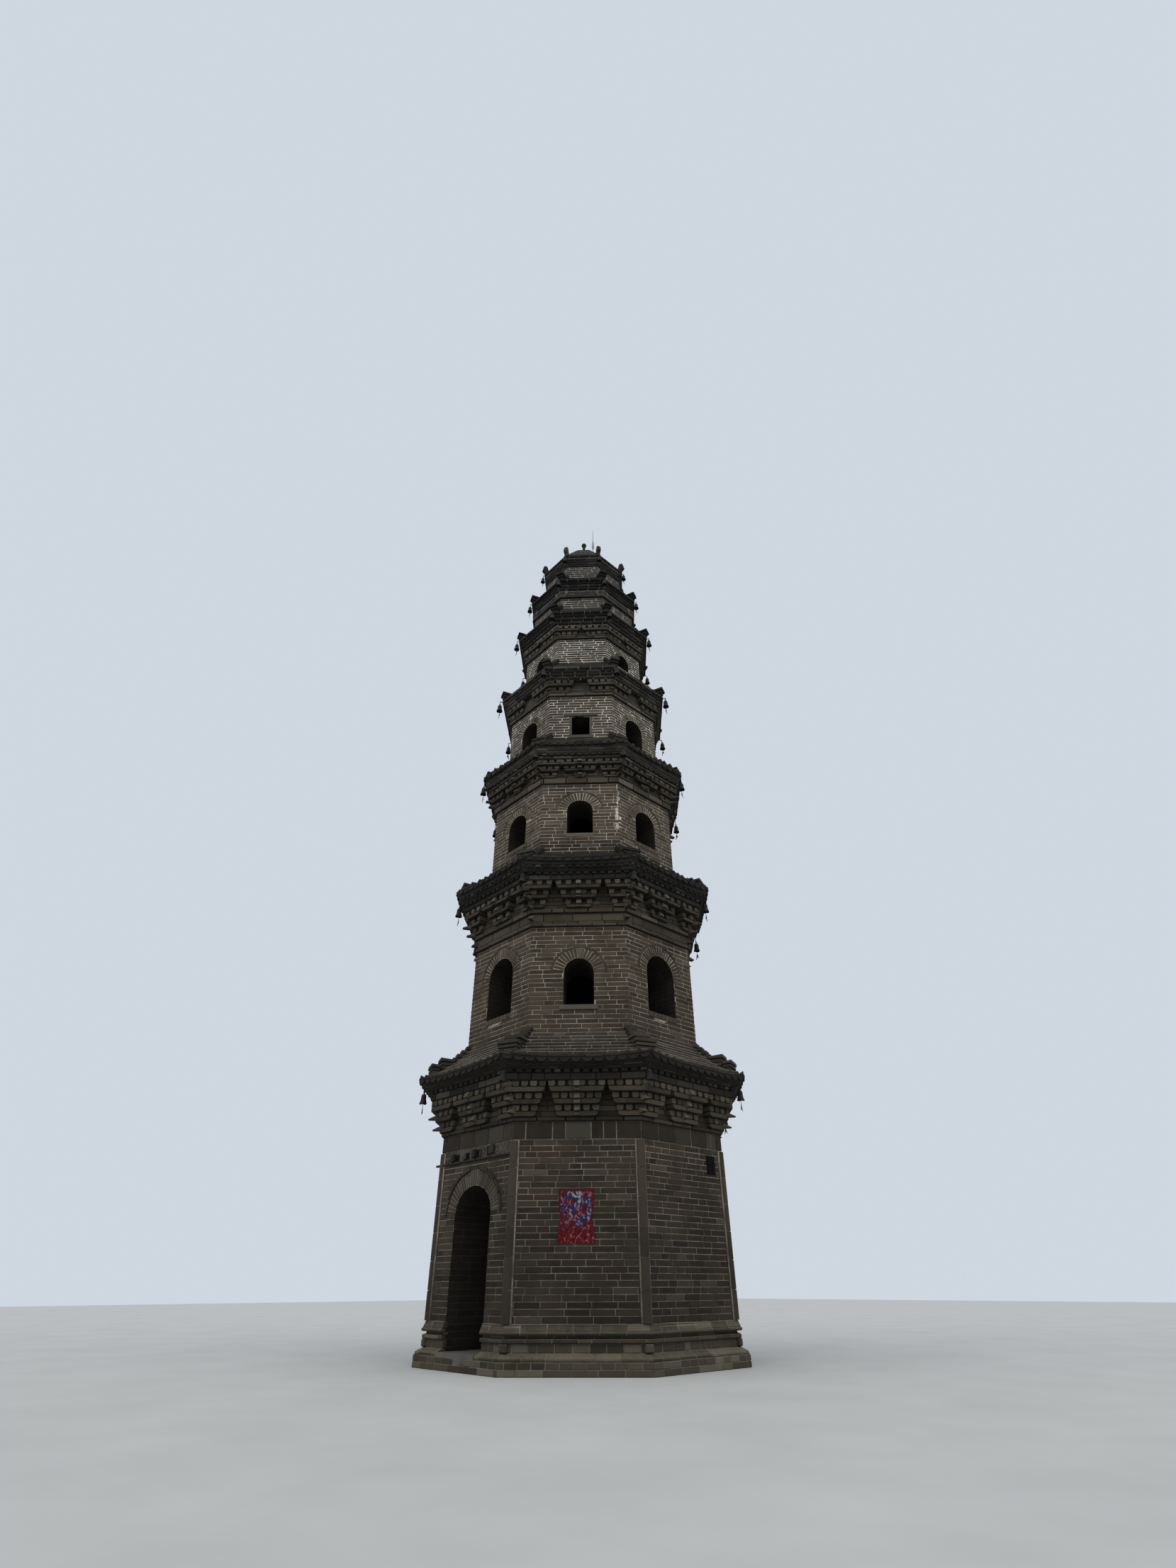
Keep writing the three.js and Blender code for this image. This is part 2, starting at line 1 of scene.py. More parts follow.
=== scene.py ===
# %% [markdown]
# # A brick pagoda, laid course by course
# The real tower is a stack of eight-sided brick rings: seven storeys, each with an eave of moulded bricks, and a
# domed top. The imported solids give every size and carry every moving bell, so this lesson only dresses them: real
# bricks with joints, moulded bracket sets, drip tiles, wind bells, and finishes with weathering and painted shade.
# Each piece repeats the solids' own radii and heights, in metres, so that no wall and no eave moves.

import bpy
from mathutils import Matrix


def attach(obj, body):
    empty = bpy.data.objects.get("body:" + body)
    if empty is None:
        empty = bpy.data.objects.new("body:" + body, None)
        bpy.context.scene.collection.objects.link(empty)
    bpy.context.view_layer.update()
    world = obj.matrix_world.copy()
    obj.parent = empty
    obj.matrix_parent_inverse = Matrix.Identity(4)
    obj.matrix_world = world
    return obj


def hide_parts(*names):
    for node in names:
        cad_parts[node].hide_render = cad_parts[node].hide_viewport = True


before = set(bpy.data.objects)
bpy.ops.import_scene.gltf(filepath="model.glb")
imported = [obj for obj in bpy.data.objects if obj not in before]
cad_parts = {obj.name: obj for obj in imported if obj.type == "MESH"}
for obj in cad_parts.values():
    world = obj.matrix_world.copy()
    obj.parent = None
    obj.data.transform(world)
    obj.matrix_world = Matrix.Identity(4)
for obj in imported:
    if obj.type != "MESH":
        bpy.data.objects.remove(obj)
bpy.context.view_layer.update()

# %% Tools, the octagon's constants and the dice
import math
import random
from collections import namedtuple

import bpy
import bmesh
from mathutils import Matrix, Vector

SIDES = 8
HALF_TURN = math.pi / SIDES
TO_FACE = math.cos(HALF_TURN)
TO_EDGE = math.sin(HALF_TURN)
FACES = tuple(45 * number for number in range(SIDES))
CORNERS = tuple(22.5 + azimuth for azimuth in FACES)
dice = random.Random(1)
print("a corner radius of 1 m puts a face", round(TO_FACE, 3), "m out and makes it", round(2 * TO_EDGE, 3), "m wide")

# %% [markdown]
# ## The view
# The photograph looks up from eye height, from in front of the side next to the doorway. The camera is placed by
# its distance and turning from the doorway's own direction, and its lens is set by the picture's height, because
# the picture is upright. No depth of field and no shift are needed.

# %% Camera
def add_object(name, data):
    thing = bpy.data.objects.new(name, data)
    bpy.context.scene.collection.objects.link(thing)
    return thing


EYE = Vector((11.03, -10.13, 0.9945))
heading, pitch, roll = (math.radians(angle) for angle in (47.034, 34.755, -0.204))
lens = bpy.data.cameras.new("view_camera")
lens.sensor_fit = "VERTICAL"
lens.sensor_height = 36.0
lens.lens = 16.633
lens.clip_end = 200.0
camera = add_object("view_camera", lens)
camera.matrix_world = (Matrix.Translation(EYE) @ Matrix.Rotation(heading, 4, "Z")
                       @ Matrix.Rotation(math.pi / 2 + pitch, 4, "X") @ Matrix.Rotation(roll, 4, "Z"))
bpy.context.scene.camera = camera
print("camera stands", round(EYE.xy.length, 2), "m from the tower's axis")

# %% [markdown]
# ## Light and floor
# The photograph was taken under an even, bright, overcast sky, which leaves the undersides of the eaves nearly
# black. A pale world gives that light, and two broad, soft suns from high up on both sides of the view keep some
# shape in the bricks. The floor, made in the last cell, is plain and pale.

# %% Soft light
world = bpy.data.worlds.new("overcast")
world.use_nodes = True
background = world.node_tree.nodes["Background"].inputs
background["Color"].default_value = (0.62, 0.68, 0.75, 1.0)
background["Strength"].default_value = 1.0
bpy.context.scene.world = world
for name, heading in (("left_sun", -4), ("right_sun", 92)):
    light = bpy.data.lights.new(name, "SUN")
    light.energy = 0.75
    light.color = (1.0, 0.95, 0.87)
    light.angle = math.radians(50)
    add_object(name, light).rotation_euler = (math.radians(38), 0.0, math.radians(heading))
bpy.context.scene.view_settings.view_transform = "Standard"
print("a pale world and two suns of", light.energy)

# %% [markdown]
# ## Shader sums in Python
# A finish is easier to read as a formula than as a list of links. The first class wraps a node's output, so that
# +, -, * and / add Math nodes, and so that it can be remapped, split, or used to blend two colours. The second
# class holds one material and makes any node on request. Colours are given as red, green and blue.

# %% A signal that takes part in sums
def sum_method(operation, swapped=False):
    """The method behind an operator: a Math node on a signal and another term, or on both the other way round."""
    def add_node(signal, other):
        return signal.finish.sum_of(operation, *((other, signal) if swapped else (signal, other)))
    return add_node


class Signal:
    """The output of a shader node, which takes part in Python sums."""

    def __init__(self, finish, socket):
        self.finish, self.socket = finish, socket

    def between(self, low, high):
        return self.finish.node("ShaderNodeMapRange", {"clamp": True},
                                {"Value": self, "From Min": low, "From Max": high})

    def blend(self, first, second):
        return self.finish.node("ShaderNodeMix", {"data_type": "RGBA"}, {0: self, 6: first, 7: second}, output=2)

    def parts(self):
        split = self.finish.node("ShaderNodeSeparateXYZ", values={0: self})
        return [Signal(self.finish, socket) for socket in split.socket.node.outputs]

    __add__, __radd__ = sum_method("ADD"), sum_method("ADD", swapped=True)
    __sub__, __rsub__ = sum_method("SUBTRACT"), sum_method("SUBTRACT", swapped=True)
    __mul__, __rmul__ = sum_method("MULTIPLY"), sum_method("MULTIPLY", swapped=True)
    __truediv__, __rtruediv__ = sum_method("DIVIDE"), sum_method("DIVIDE", swapped=True)


# %% A finish: one material and the nodes it is made from
class Finish:
    """One material, built up from formulas."""

    def __init__(self, name, roughness, metallic=0.0):
        self.material = bpy.data.materials.new(name)
        self.material.use_nodes = True
        self.tree = self.material.node_tree
        self.shader = self.tree.nodes["Principled BSDF"]
        for key, value in (("Roughness", roughness), ("Metallic", metallic), ("Specular IOR Level", 0.25)):
            self.shader.inputs[key].default_value = value

    def node(self, kind, settings=None, values=None, output=0):
        """Any node: its settings first, such as a ramp's stops of (place, colour), then its sockets."""
        made = self.tree.nodes.new(kind)
        for key, value in (settings or {}).items():
            if key == "stops":
                stops = made.color_ramp.elements
                stops[0].position, stops[1].position = value[0][0], value[-1][0]
                for place, _ in value[1:-1]:
                    stops.new(place)
                for stop, (_, shade) in zip(stops, value):
                    stop.color = (*shade, 1.0)
            else:
                setattr(made, key, value)
        for key, value in (values or {}).items():
            socket = made.inputs[key]
            if isinstance(value, Signal):
                self.tree.links.new(value.socket, socket)
            else:
                socket.default_value = (*value, 1.0) if socket.type == "RGBA" else value
        return Signal(self, made.outputs[output])

    def sum_of(self, operation, *terms):
        return self.node("ShaderNodeMath", {"operation": operation}, dict(enumerate(terms)))

    def feed(self, name, signal):
        self.tree.links.new(signal.socket, self.shader.inputs[name])

    def place(self):
        return self.node("ShaderNodeTexCoord", output="Object")

    def normal(self):
        return self.node("ShaderNodeNewGeometry", output="Normal")

    def marks(self):
        """The small colour that each brick was given when it was laid."""
        return self.node("ShaderNodeAttribute", {"attribute_name": "brick"}, output="Vector")

    def noise(self, scale, detail=3.0, stretch=(1.0, 1.0, 1.0), rough=0.55):
        spot = self.node("ShaderNodeMapping", values={"Vector": self.place(), "Scale": stretch})
        return self.node("ShaderNodeTexNoise", values={"Vector": spot, "Scale": scale, "Detail": detail,
                                                       "Roughness": rough}, output="Fac")

    def bump(self, height, strength, distance):
        self.feed("Normal", self.node("ShaderNodeBump", values={"Height": height, "Strength": strength,
                                                                "Distance": distance}))


print("shader sums ready")

# %% [markdown]
# ## Laid bricks
# Every laid brick carries a small colour mark of its own, made when it is laid: red for how light it is, green for
# how warm it was fired and blue for how much lime or dust lies on it. The finish mixes its colours by those marks,
# so neighbours differ as real kiln bricks do, and adds stains, grain, lime runs and dust on what faces up. It also
# paints shade: faces that look down turn nearly black, and the colour is scaled by height, darker low down and under
# the eaves.

# %% Fired brick in its several shades
RAMP_TOP = 20.0


def shade_and_dirt_by_height(body, shades):
    """Darkens a colour by height, as painted shade and dirt together, from a list of heights in metres with the share
    and warmth of light kept there.
    """
    height = body.finish.place().parts()[2]
    stops = [(place / RAMP_TOP, (share, share * (1 - 0.06 * warmth), share * (1 - 0.17 * warmth)))
             for place, share, warmth in shades]
    shade = body.finish.node("ShaderNodeValToRGB", {"stops": stops}, {"Fac": height / RAMP_TOP})
    return body.finish.node("ShaderNodeMix", {"data_type": "RGBA", "blend_type": "MULTIPLY"},
                            {0: 1.0, 6: body, 7: shade}, output=2)


def fired_brick(name, dark, light, warm, dust, dust_share, soot_share, shades):
    finish = Finish(name, 0.94)
    lightness, warmth, lime = finish.marks().parts()
    stains = finish.noise(0.9, 4.0, (1.0, 1.0, 0.45))
    clouds = finish.noise(7.0, 4.0)
    grain = finish.noise(60.0, 3.0)
    body = lightness.blend(dark, light)
    body = (warmth * 0.75).blend(body, warm)
    body = (clouds.between(0.35, 0.75) * 0.35).blend(body, light)
    body = (stains.between(0.42, 0.70) * soot_share).blend(body, (0.022, 0.021, 0.019))
    streaks = finish.noise(5.0, 5.0, (1.0, 1.0, 0.25), 0.7).between(0.56, 0.78)
    body = ((lime + streaks * 0.6).between(0.35, 1.2) * 0.8).blend(body, dust)
    upward = finish.normal().parts()[2]
    settled = upward.between(0.25, 0.95) * (grain + clouds).between(0.7, 1.15)
    body = (settled * dust_share).blend(body, dust)
    # Painted shade: faces that look down are darkened nearly to black.
    body = (upward.between(-0.25, -0.85) * 0.8).blend(body, (0.004, 0.004, 0.004))
    finish.feed("Base Color", shade_and_dirt_by_height(body, shades))
    finish.bump(grain * 0.4 + clouds * 0.6, 0.6, 0.006)
    return finish.material


# Shades by height for the finishes: painted shade and dirt together, darker low down on the walls and under the
# eaves, with a darker band of soot at the foot of storey three and darker again near the top.
OPEN_WALL = [(0.6, 0.15, 1.0), (1.2, 0.165, 1.0), (2.8, 0.245, 1.0), (4.7, 0.29, 1.0), (6.5, 0.335, 1.0),
             (8.3, 0.20, 0.9), (8.52, 0.22, 0.9), (8.66, 0.38, 0.9), (10.0, 0.39, 0.9), (12.0, 0.40, 0.5),
             (14.6, 0.37, 0.3), (16.5, 0.31, 0.0), (18.2, 0.26, -0.4)]
SLOPES = [(4.2, 0.31, 1.0), (4.6, 0.31, 1.0), (7.9, 0.13, 0.7), (12.0, 0.18, 0.3), (18.0, 0.18, 0.0)]
STRINGS = [(2.9, 0.21, 1.0), (3.2, 0.23, 1.0), (6.7, 0.38, 1.0), (10.0, 0.42, 0.9), (12.8, 0.45, 0.5),
           (15.0, 0.38, 0.3), (16.8, 0.26, 0.0)]
UNDER_EAVES = [(3.7, 0.75, 0.8), (7.7, 0.64, 0.0), (10.6, 1.00, 0.6), (13.4, 0.90, 0.4), (15.5, 0.38, 0.4),
               (17.2, 0.20, -0.3), (18.7, 0.62, -0.3), (19.6, 0.70, -0.3)]
EVEN = [(0.0, 1.0, 1.0), (20.0, 1.0, 0.5)]
wall_brick = fired_brick("wall_brick", (0.075, 0.060, 0.047), (0.300, 0.250, 0.190), (0.210, 0.135, 0.085),
                         (0.42, 0.39, 0.34), 0.25, 0.50, OPEN_WALL)
slope_brick = fired_brick("slope_brick", (0.065, 0.056, 0.048), (0.230, 0.205, 0.175), (0.150, 0.105, 0.078),
                          (0.34, 0.32, 0.29), 0.35, 0.60, SLOPES)
string_brick = fired_brick("string_brick", (0.080, 0.068, 0.054), (0.235, 0.205, 0.165), (0.150, 0.110, 0.080),
                           (0.36, 0.34, 0.30), 0.25, 0.45, STRINGS)
# Brackets and eave courses use darker copies of the same brick: partly soot, partly the shade under the eaves painted
# in.
bracket_brick = fired_brick("bracket_brick", (0.021, 0.018, 0.015), (0.108, 0.094, 0.075), (0.080, 0.059, 0.041),
                            (0.19, 0.18, 0.155), 0.25, 0.50, EVEN)
eave_brick = fired_brick("eave_brick", (0.010, 0.009, 0.008), (0.048, 0.043, 0.036), (0.040, 0.029, 0.021),
                         (0.13, 0.125, 0.11), 0.25, 0.55, UNDER_EAVES)
# Nearly black: soot together with the deep shade under each eave's edge, painted in.
soot_and_shade_brick = fired_brick("soot_and_shade_brick", (0.005, 0.005, 0.0045), (0.014, 0.013, 0.012), (0.012, 0.010, 0.008),
                         (0.05, 0.048, 0.043), 0.15, 0.60, EVEN)
foot_brick = fired_brick("foot_brick", (0.022, 0.020, 0.016), (0.080, 0.073, 0.058), (0.066, 0.048, 0.032),
                         (0.16, 0.15, 0.12), 0.50, 0.45, EVEN)
window_stone = fired_brick("window_stone", (0.150, 0.134, 0.112), (0.230, 0.208, 0.176), (0.165, 0.140, 0.112),
                           (0.40, 0.38, 0.34), 0.30, 0.40, OPEN_WALL)
print("eight brick finishes")

# %% [markdown]
# ## Mortar, and brickwork seen only from inside
# Behind the laid bricks the solids show as lime mortar. Their reveals and inner faces were never dressed brick by
# brick, so there the same finish draws a bond: the direction that a face looks in gives the run of its courses. The
# bond is drawn almost black, as painted shade inside the openings, and the outside mortar is lighter the higher it
# lies, dirt and painted shade together. A face belongs to the outside when it looks away from the axis and lies more
# than 0.7 m from it.

# %% Mortar outside, drawn bond inside
# Mortar shades by height: lighter the higher it lies, dirt and painted shade together.
OPEN_JOINTS = [(0.6, 0.20, 1.0), (1.6, 0.25, 1.0), (2.8, 0.34, 1.0), (4.6, 0.44, 1.0), (6.5, 0.54, 1.0),
               (9.2, 0.70, 0.9), (12.0, 0.92, 0.5), (14.6, 0.97, 0.3), (16.5, 0.55, 0.0), (18.2, 0.52, -0.4)]


def scaled(shade, share):
    return tuple(part * share for part in shade)


def bare_brickwork(name, mortar, inner_dark, inner_light):
    finish = Finish(name, 0.96)
    across, along, up = finish.place().parts()
    facing_x, facing_y, facing_z = finish.normal().parts()
    outside = (across * facing_x + along * facing_y).between(0.68, 0.72)
    level = finish.sum_of("ABSOLUTE", facing_z).between(0.68, 0.72)
    run = along * facing_x - across * facing_y
    course = up * (1 - level) + along * level
    run = run * (1 - level) + across * level
    # The inner bond is drawn in near-black tones, as painted shade inside the openings.
    bond = finish.node("ShaderNodeTexBrick", values={
        "Vector": finish.node("ShaderNodeCombineXYZ", values={0: run, 1: course}), "Color1": inner_dark,
        "Color2": inner_light, "Mortar": scaled(inner_light, 1.7), "Scale": 1.0, "Mortar Size": 0.006,
        "Mortar Smooth": 0.3, "Brick Width": 0.37, "Row Height": 0.088})
    clouds = finish.noise(3.0, 4.0)
    dirt = finish.noise(22.0, 4.0)
    grimy = scaled(mortar, 0.3)
    lime = (clouds.between(0.42, 0.62) * 0.8).blend(mortar, grimy)
    lime = shade_and_dirt_by_height((dirt.between(0.50, 0.75) * 0.6).blend(lime, grimy), OPEN_JOINTS)
    inner = (clouds.between(0.4, 0.7) * 0.5).blend(bond, scaled(inner_dark, 0.5))
    finish.feed("Base Color", outside.blend(inner, lime))
    finish.bump(dirt, 0.5, 0.006)
    return finish.material


lime_mortar = bare_brickwork("lime_mortar", (0.80, 0.76, 0.68), (0.016, 0.012, 0.010), (0.027, 0.021, 0.017))
# Dark mortar for the bedding behind brackets, cornices and low eaves: soot together with the shade there, painted in.
soot_and_shade_mortar = bare_brickwork("soot_and_shade_mortar", (0.060, 0.056, 0.050), (0.014, 0.012, 0.010), (0.024, 0.020, 0.017))
print("two mortars")

# %% [markdown]
# ## Stone, timber and metal
# The doorstep is light grey stone, with fine speckles and clouds of dirt. The floors are old boards, so one
# stretched noise gives the grain and a row of thin lines gives the joints. The bells are black iron with a little
# rust in its clouds, and the rod is dull zinc.

# %% Stone, boards, iron and zinc
def dressed_stone():
    finish = Finish("dressed_stone", 0.85)
    speckle = finish.noise(120.0, 2.0)
    clouds = finish.noise(4.0, 5.0)
    body = clouds.between(0.35, 0.7).blend((0.120, 0.116, 0.104), (0.070, 0.067, 0.059))
    finish.feed("Base Color", (speckle.between(0.55, 0.7) * 0.5).blend(body, (0.18, 0.176, 0.165)))
    finish.bump(speckle * 0.3 + clouds, 0.4, 0.004)
    return finish.material


BOARD_WIDTH = 0.18


def floor_boards():
    finish = Finish("floor_boards", 0.85)
    grain = finish.noise(9.0, 6.0, (8.0, 0.5, 8.0))
    across = finish.place().parts()[0]
    share = finish.sum_of("FRACT", across / BOARD_WIDTH)
    seam = finish.sum_of("ABSOLUTE", share - 0.5).between(0.47, 0.49)
    body = grain.blend((0.045, 0.030, 0.019), (0.17, 0.125, 0.085))
    finish.feed("Base Color", seam.blend(body, (0.01, 0.008, 0.006)))
    finish.bump(grain - seam, 0.5, 0.004)
    return finish.material


def weathered_metal(name, dark, light, rust, rust_share, roughness):
    finish = Finish(name, roughness, metallic=0.55)
    clouds = finish.noise(25.0, 5.0)
    pits = finish.noise(160.0, 2.0)
    body = clouds.blend(dark, light)
    spots = finish.noise(60.0, 4.0).between(0.55, 0.72)
    finish.feed("Base Color", (spots * rust_share).blend(body, rust))
    finish.feed("Roughness", pits.between(0.2, 0.8) * 0.25 + roughness)
    finish.bump(pits * 0.3 + clouds * 0.7, 0.4, 0.002)
    return finish.material


step_stone = dressed_stone()
board_finish = floor_boards()
bell_iron = weathered_metal("bell_iron", (0.010, 0.010, 0.011), (0.035, 0.034, 0.034), (0.06, 0.028, 0.014), 0.5,
                            0.55)
rod_zinc = weathered_metal("rod_zinc", (0.20, 0.21, 0.22), (0.36, 0.37, 0.38), (0.12, 0.09, 0.07), 0.3, 0.4)
print("stone, boards, iron and zinc")

# %% [markdown]
# ## How a brick is made
# Almost everything here is one of two shapes. A moulded brick is a section, drawn as outward distance and height,
# swept sideways for one brick's length. A cut block, a bracket arm or a drip tile is an outline, drawn as across
# and height, pushed outwards. Both are a few vertices and one extrude, and both are made on the doorway's face and
# then turned to the others.

# %% The two moves
def fresh_mesh():
    mesh = bmesh.new()
    mesh.verts.layers.float_color.new("brick")
    return mesh


def mark(mesh, verts, tint):
    layer = mesh.verts.layers.float_color["brick"]
    for vert in verts:
        vert[layer] = (*tint, 1.0)


def extruded(mesh, outline, move, tint):
    """Vertices on an outline, made a face and extruded along move; returns the near and the far vertices."""
    near = [mesh.verts.new(point) for point in outline]
    swept = bmesh.ops.extrude_face_region(mesh, geom=[mesh.faces.new(near)])["geom"]
    far = [item for item in swept if isinstance(item, bmesh.types.BMVert)]
    bmesh.ops.translate(mesh, vec=move, verts=far)
    mark(mesh, near + far, tint)
    return near, far


def sweep_across(mesh, section, left, right, tint):
    """A section of (outward, height) swept sideways from left to right."""
    return extruded(mesh, [(left, -out, z) for out, z in section], (right - left, 0, 0), tint)


def push_out(mesh, outline, back, front, tint):
    """An outline of (across, height) pushed outwards from back to front."""
    return extruded(mesh, [(x, -back, z) for x, z in outline], (0, back - front, 0), tint)


def box(start, end, low, high):
    """A rectangle, as a section from back to front or as an outline from left to right."""
    return [(start, low), (end, low), (end, high), (start, high)]


print("sweep_across and push_out ready")

# %% [markdown]
# ## Laying a course
# A course runs past both ends of its face and is then cut along the two planes through the tower's axis, so that
# the bricks of two faces meet in a clean arris. Lengths vary a little and every fifth brick is a header, as in the
# photograph. Where a course meets an opening, the brick's end follows the edge of the arch, because each end vertex
# is moved to the arch's half width at its own height. The dice are seeded anew for each group of pieces.

# %% Course by course
BRICK_LENGTH = 0.37
COURSE_HEIGHT = 0.082
JOINTS = {1: 0.012, 2: 0.013, 3: 0.014, 4: 0.019, 5: 0.023, 6: 0.021, 7: 0.022}
SHORTEST = 0.03


def brick_marks(warm_share=0.25, lime_share=0.10):
    warmth = dice.uniform(0.4, 1.0) if dice.random() < warm_share else dice.uniform(0.0, 0.3)
    lime = dice.uniform(0.5, 1.0) if dice.random() < lime_share else dice.uniform(0.0, 0.3)
    return (dice.uniform(0.08, 0.92), warmth, lime)


def spans_beside(gap, left, right):
    """The parts of a brick that stay beside an opening, each with the side whose end follows the arch."""
    if gap <= 0 or right <= -gap or left >= gap:
        return [(left, right, 0)]
    return [(left, -gap, -1)] * (left < -gap) + [(gap, right, 1)] * (right > gap)


def lay_course(mesh, section, half, length=BRICK_LENGTH, joint=0.014, opening=None, headers=0.2, warm_share=0.25,
               lime_share=0.05):
    """Bricks side by side along a face, past both its ends."""
    heights = [z for _, z in section]
    widths = [opening(min(heights)), opening(max(heights))] if opening else [0, 0]
    gap = min(widths) or max(widths) / 2
    left = -half - dice.uniform(0.05, 0.9) * length
    while left < half:
        size = length * dice.uniform(0.96, 1.04) * (0.5 if dice.random() < headers else 1.0)
        for start, end, side in spans_beside(gap, left, left + size - joint):
            if end - start < SHORTEST:
                continue
            depth = dice.uniform(-0.002, 0.002)
            near, far = sweep_across(mesh, [(out + depth, z) for out, z in section], start, end,
                                     brick_marks(warm_share, lime_share))
            for vert in {0: (), 1: near, -1: far}[side]:
                edge = max(opening(vert.co.z), 0.001)
                if edge < abs(vert.co.x) + 0.5 * size:
                    vert.co.x = side * edge
        left += size


print("a face of storey one takes", round(2 * 2.6 * TO_EDGE / BRICK_LENGTH, 1), "bricks a course")

# %% Cutting the arris, softening the edges, joining the faces
def cut_to_face(mesh):
    """Cuts what runs past a face's two corners."""
    for side in (-1, 1):
        bmesh.ops.bisect_plane(mesh, geom=mesh.verts[:] + mesh.edges[:] + mesh.faces[:], plane_co=(0, 0, 0),
                               clear_outer=True, plane_no=(side * TO_FACE, TO_EDGE, 0))


def soften(mesh, width, backless):
    """Leaves out the faces that lie against the wall, then rounds every edge a little."""
    if backless:
        hidden = [face for face in mesh.faces if face.normal.y > 0.9]
        bmesh.ops.delete(mesh, geom=hidden, context="FACES")
    if width:
        sharp = [edge for edge in mesh.edges if len(edge.link_faces) == 2 and edge.calc_face_angle(0) > 0.6]
        bmesh.ops.bevel(mesh, geom=sharp, offset=width, offset_type="OFFSET", segments=1, profile=0.5,
                        affect="EDGES", material=-1)


def turned(mesh, azimuth):
    bmesh.ops.rotate(mesh, cent=(0, 0, 0), matrix=Matrix.Rotation(math.radians(azimuth), 3, "Z"), verts=mesh.verts[:])
    return mesh


def turn_into(whole, part, azimuth):
    """Turns a face's or corner's mesh to its azimuth and adds it to the whole piece."""
    holder = bpy.data.meshes.new("holder")
    turned(part, azimuth).to_mesh(holder)
    part.free()
    whole.from_mesh(holder)
    bpy.data.meshes.remove(holder)


def lifted_edge(mesh, rise, near, far):
    """Lifts an eave towards its corners, more the further out a vertex lies, as the solids do."""
    for vert in mesh.verts:
        share = min(abs(math.atan2(vert.co.x, -vert.co.y)) / HALF_TURN, 1.15)
        reach = min(max((-vert.co.y - near) / (far - near), 0.0), 1.0)
        vert.co.z += rise * share ** 3 * reach


def all_round(azimuths, lay, details, wear, cut, backless=True):
    """Runs a laying function at each azimuth and returns the whole ring's mesh."""
    whole = fresh_mesh()
    for azimuth in azimuths:
        part = fresh_mesh()
        lay(part, azimuth, *details)
        bmesh.ops.recalc_face_normals(part, faces=part.faces[:])
        if cut:
            cut_to_face(part)
        soften(part, wear, backless)
        turn_into(whole, part, azimuth)
    return whole


def all_faces(lay, *details, wear=0.003, faces=FACES, cut=True):
    return all_round(faces, lay, details, wear, cut)


def all_corners(lay, *details, wear=0.003, backless=True):
    return all_round(CORNERS, lay, details, wear, False, backless)


# %% Turning a mesh into a piece that rides on its body
piece_sizes = {}


def finished(name, mesh, finish, body="tower", stands_for=(), smooth=False):
    data = bpy.data.meshes.new(name)
    mesh.to_mesh(data)
    mesh.free()
    data.materials.append(finish)
    if smooth:
        data.polygons.foreach_set("use_smooth", [True] * len(data.polygons))
    piece = add_object(name, data)
    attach(piece, body)
    if stands_for:
        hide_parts(*stands_for)
    piece_sizes[name] = sum(len(face.vertices) - 2 for face in data.polygons)


def coat(finish, *names):
    """Gives solids that stay in sight their finish."""
    for name in names:
        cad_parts[name].data.materials.clear()
        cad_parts[name].data.materials.append(finish)


def spun(profile, steps, closed=False):
    """A profile of (radius, height) spun once round the axis, from a corner on."""
    mesh = fresh_mesh()
    verts = [mesh.verts.new((r * TO_EDGE, -r * TO_FACE, z)) for r, z in profile]
    pairs = list(zip(verts, verts[1:])) + ([(verts[-1], verts[0])] if closed else [])
    edges = [mesh.edges.new(pair) for pair in pairs]
    bmesh.ops.spin(mesh, geom=verts + edges, cent=(0, 0, 0), axis=(0, 0, 1), dvec=(0, 0, 0),
                   angle=2 * math.pi, steps=steps, use_merge=True)
    bmesh.ops.remove_doubles(mesh, verts=mesh.verts[:], dist=1e-5)
    bmesh.ops.recalc_face_normals(mesh, faces=mesh.faces[:])
    mark(mesh, mesh.verts, (0.4, 0.2, 0.2))
    return mesh


def backing_ring(core, profile):
    """The masonry behind a dressed course: from the core out along a profile and back, in eight straight sides."""
    return spun([(core, profile[0][1])] + profile + [(core, profile[-1][1])], SIDES, closed=True)


def bar(mesh, place, length, radius, sides, tint):
    """A round bar along the z axis of a matrix, its middle on the matrix's origin."""
    made = bmesh.ops.create_cone(mesh, cap_ends=True, cap_tris=False, segments=sides, radius1=radius, radius2=radius,
                                 depth=length, matrix=place)["verts"]
    mark(mesh, made, tint)


print("piece makers ready")

# %% [markdown]
# ## The storeys in one table
# These are the solids' own radii and heights, only the brackets of storeys three and four end 4 to 7 cm higher and
# up to 4 cm further out. Radii run to a corner of the octagon, and one row stands for one storey, from the ground
# up. The openings are listed after it. FIT keeps a body's top clear of the solid that stands on it.

# %% Storeys and openings
FIT = 0.0003
SLOPE_CURVE = 1.3


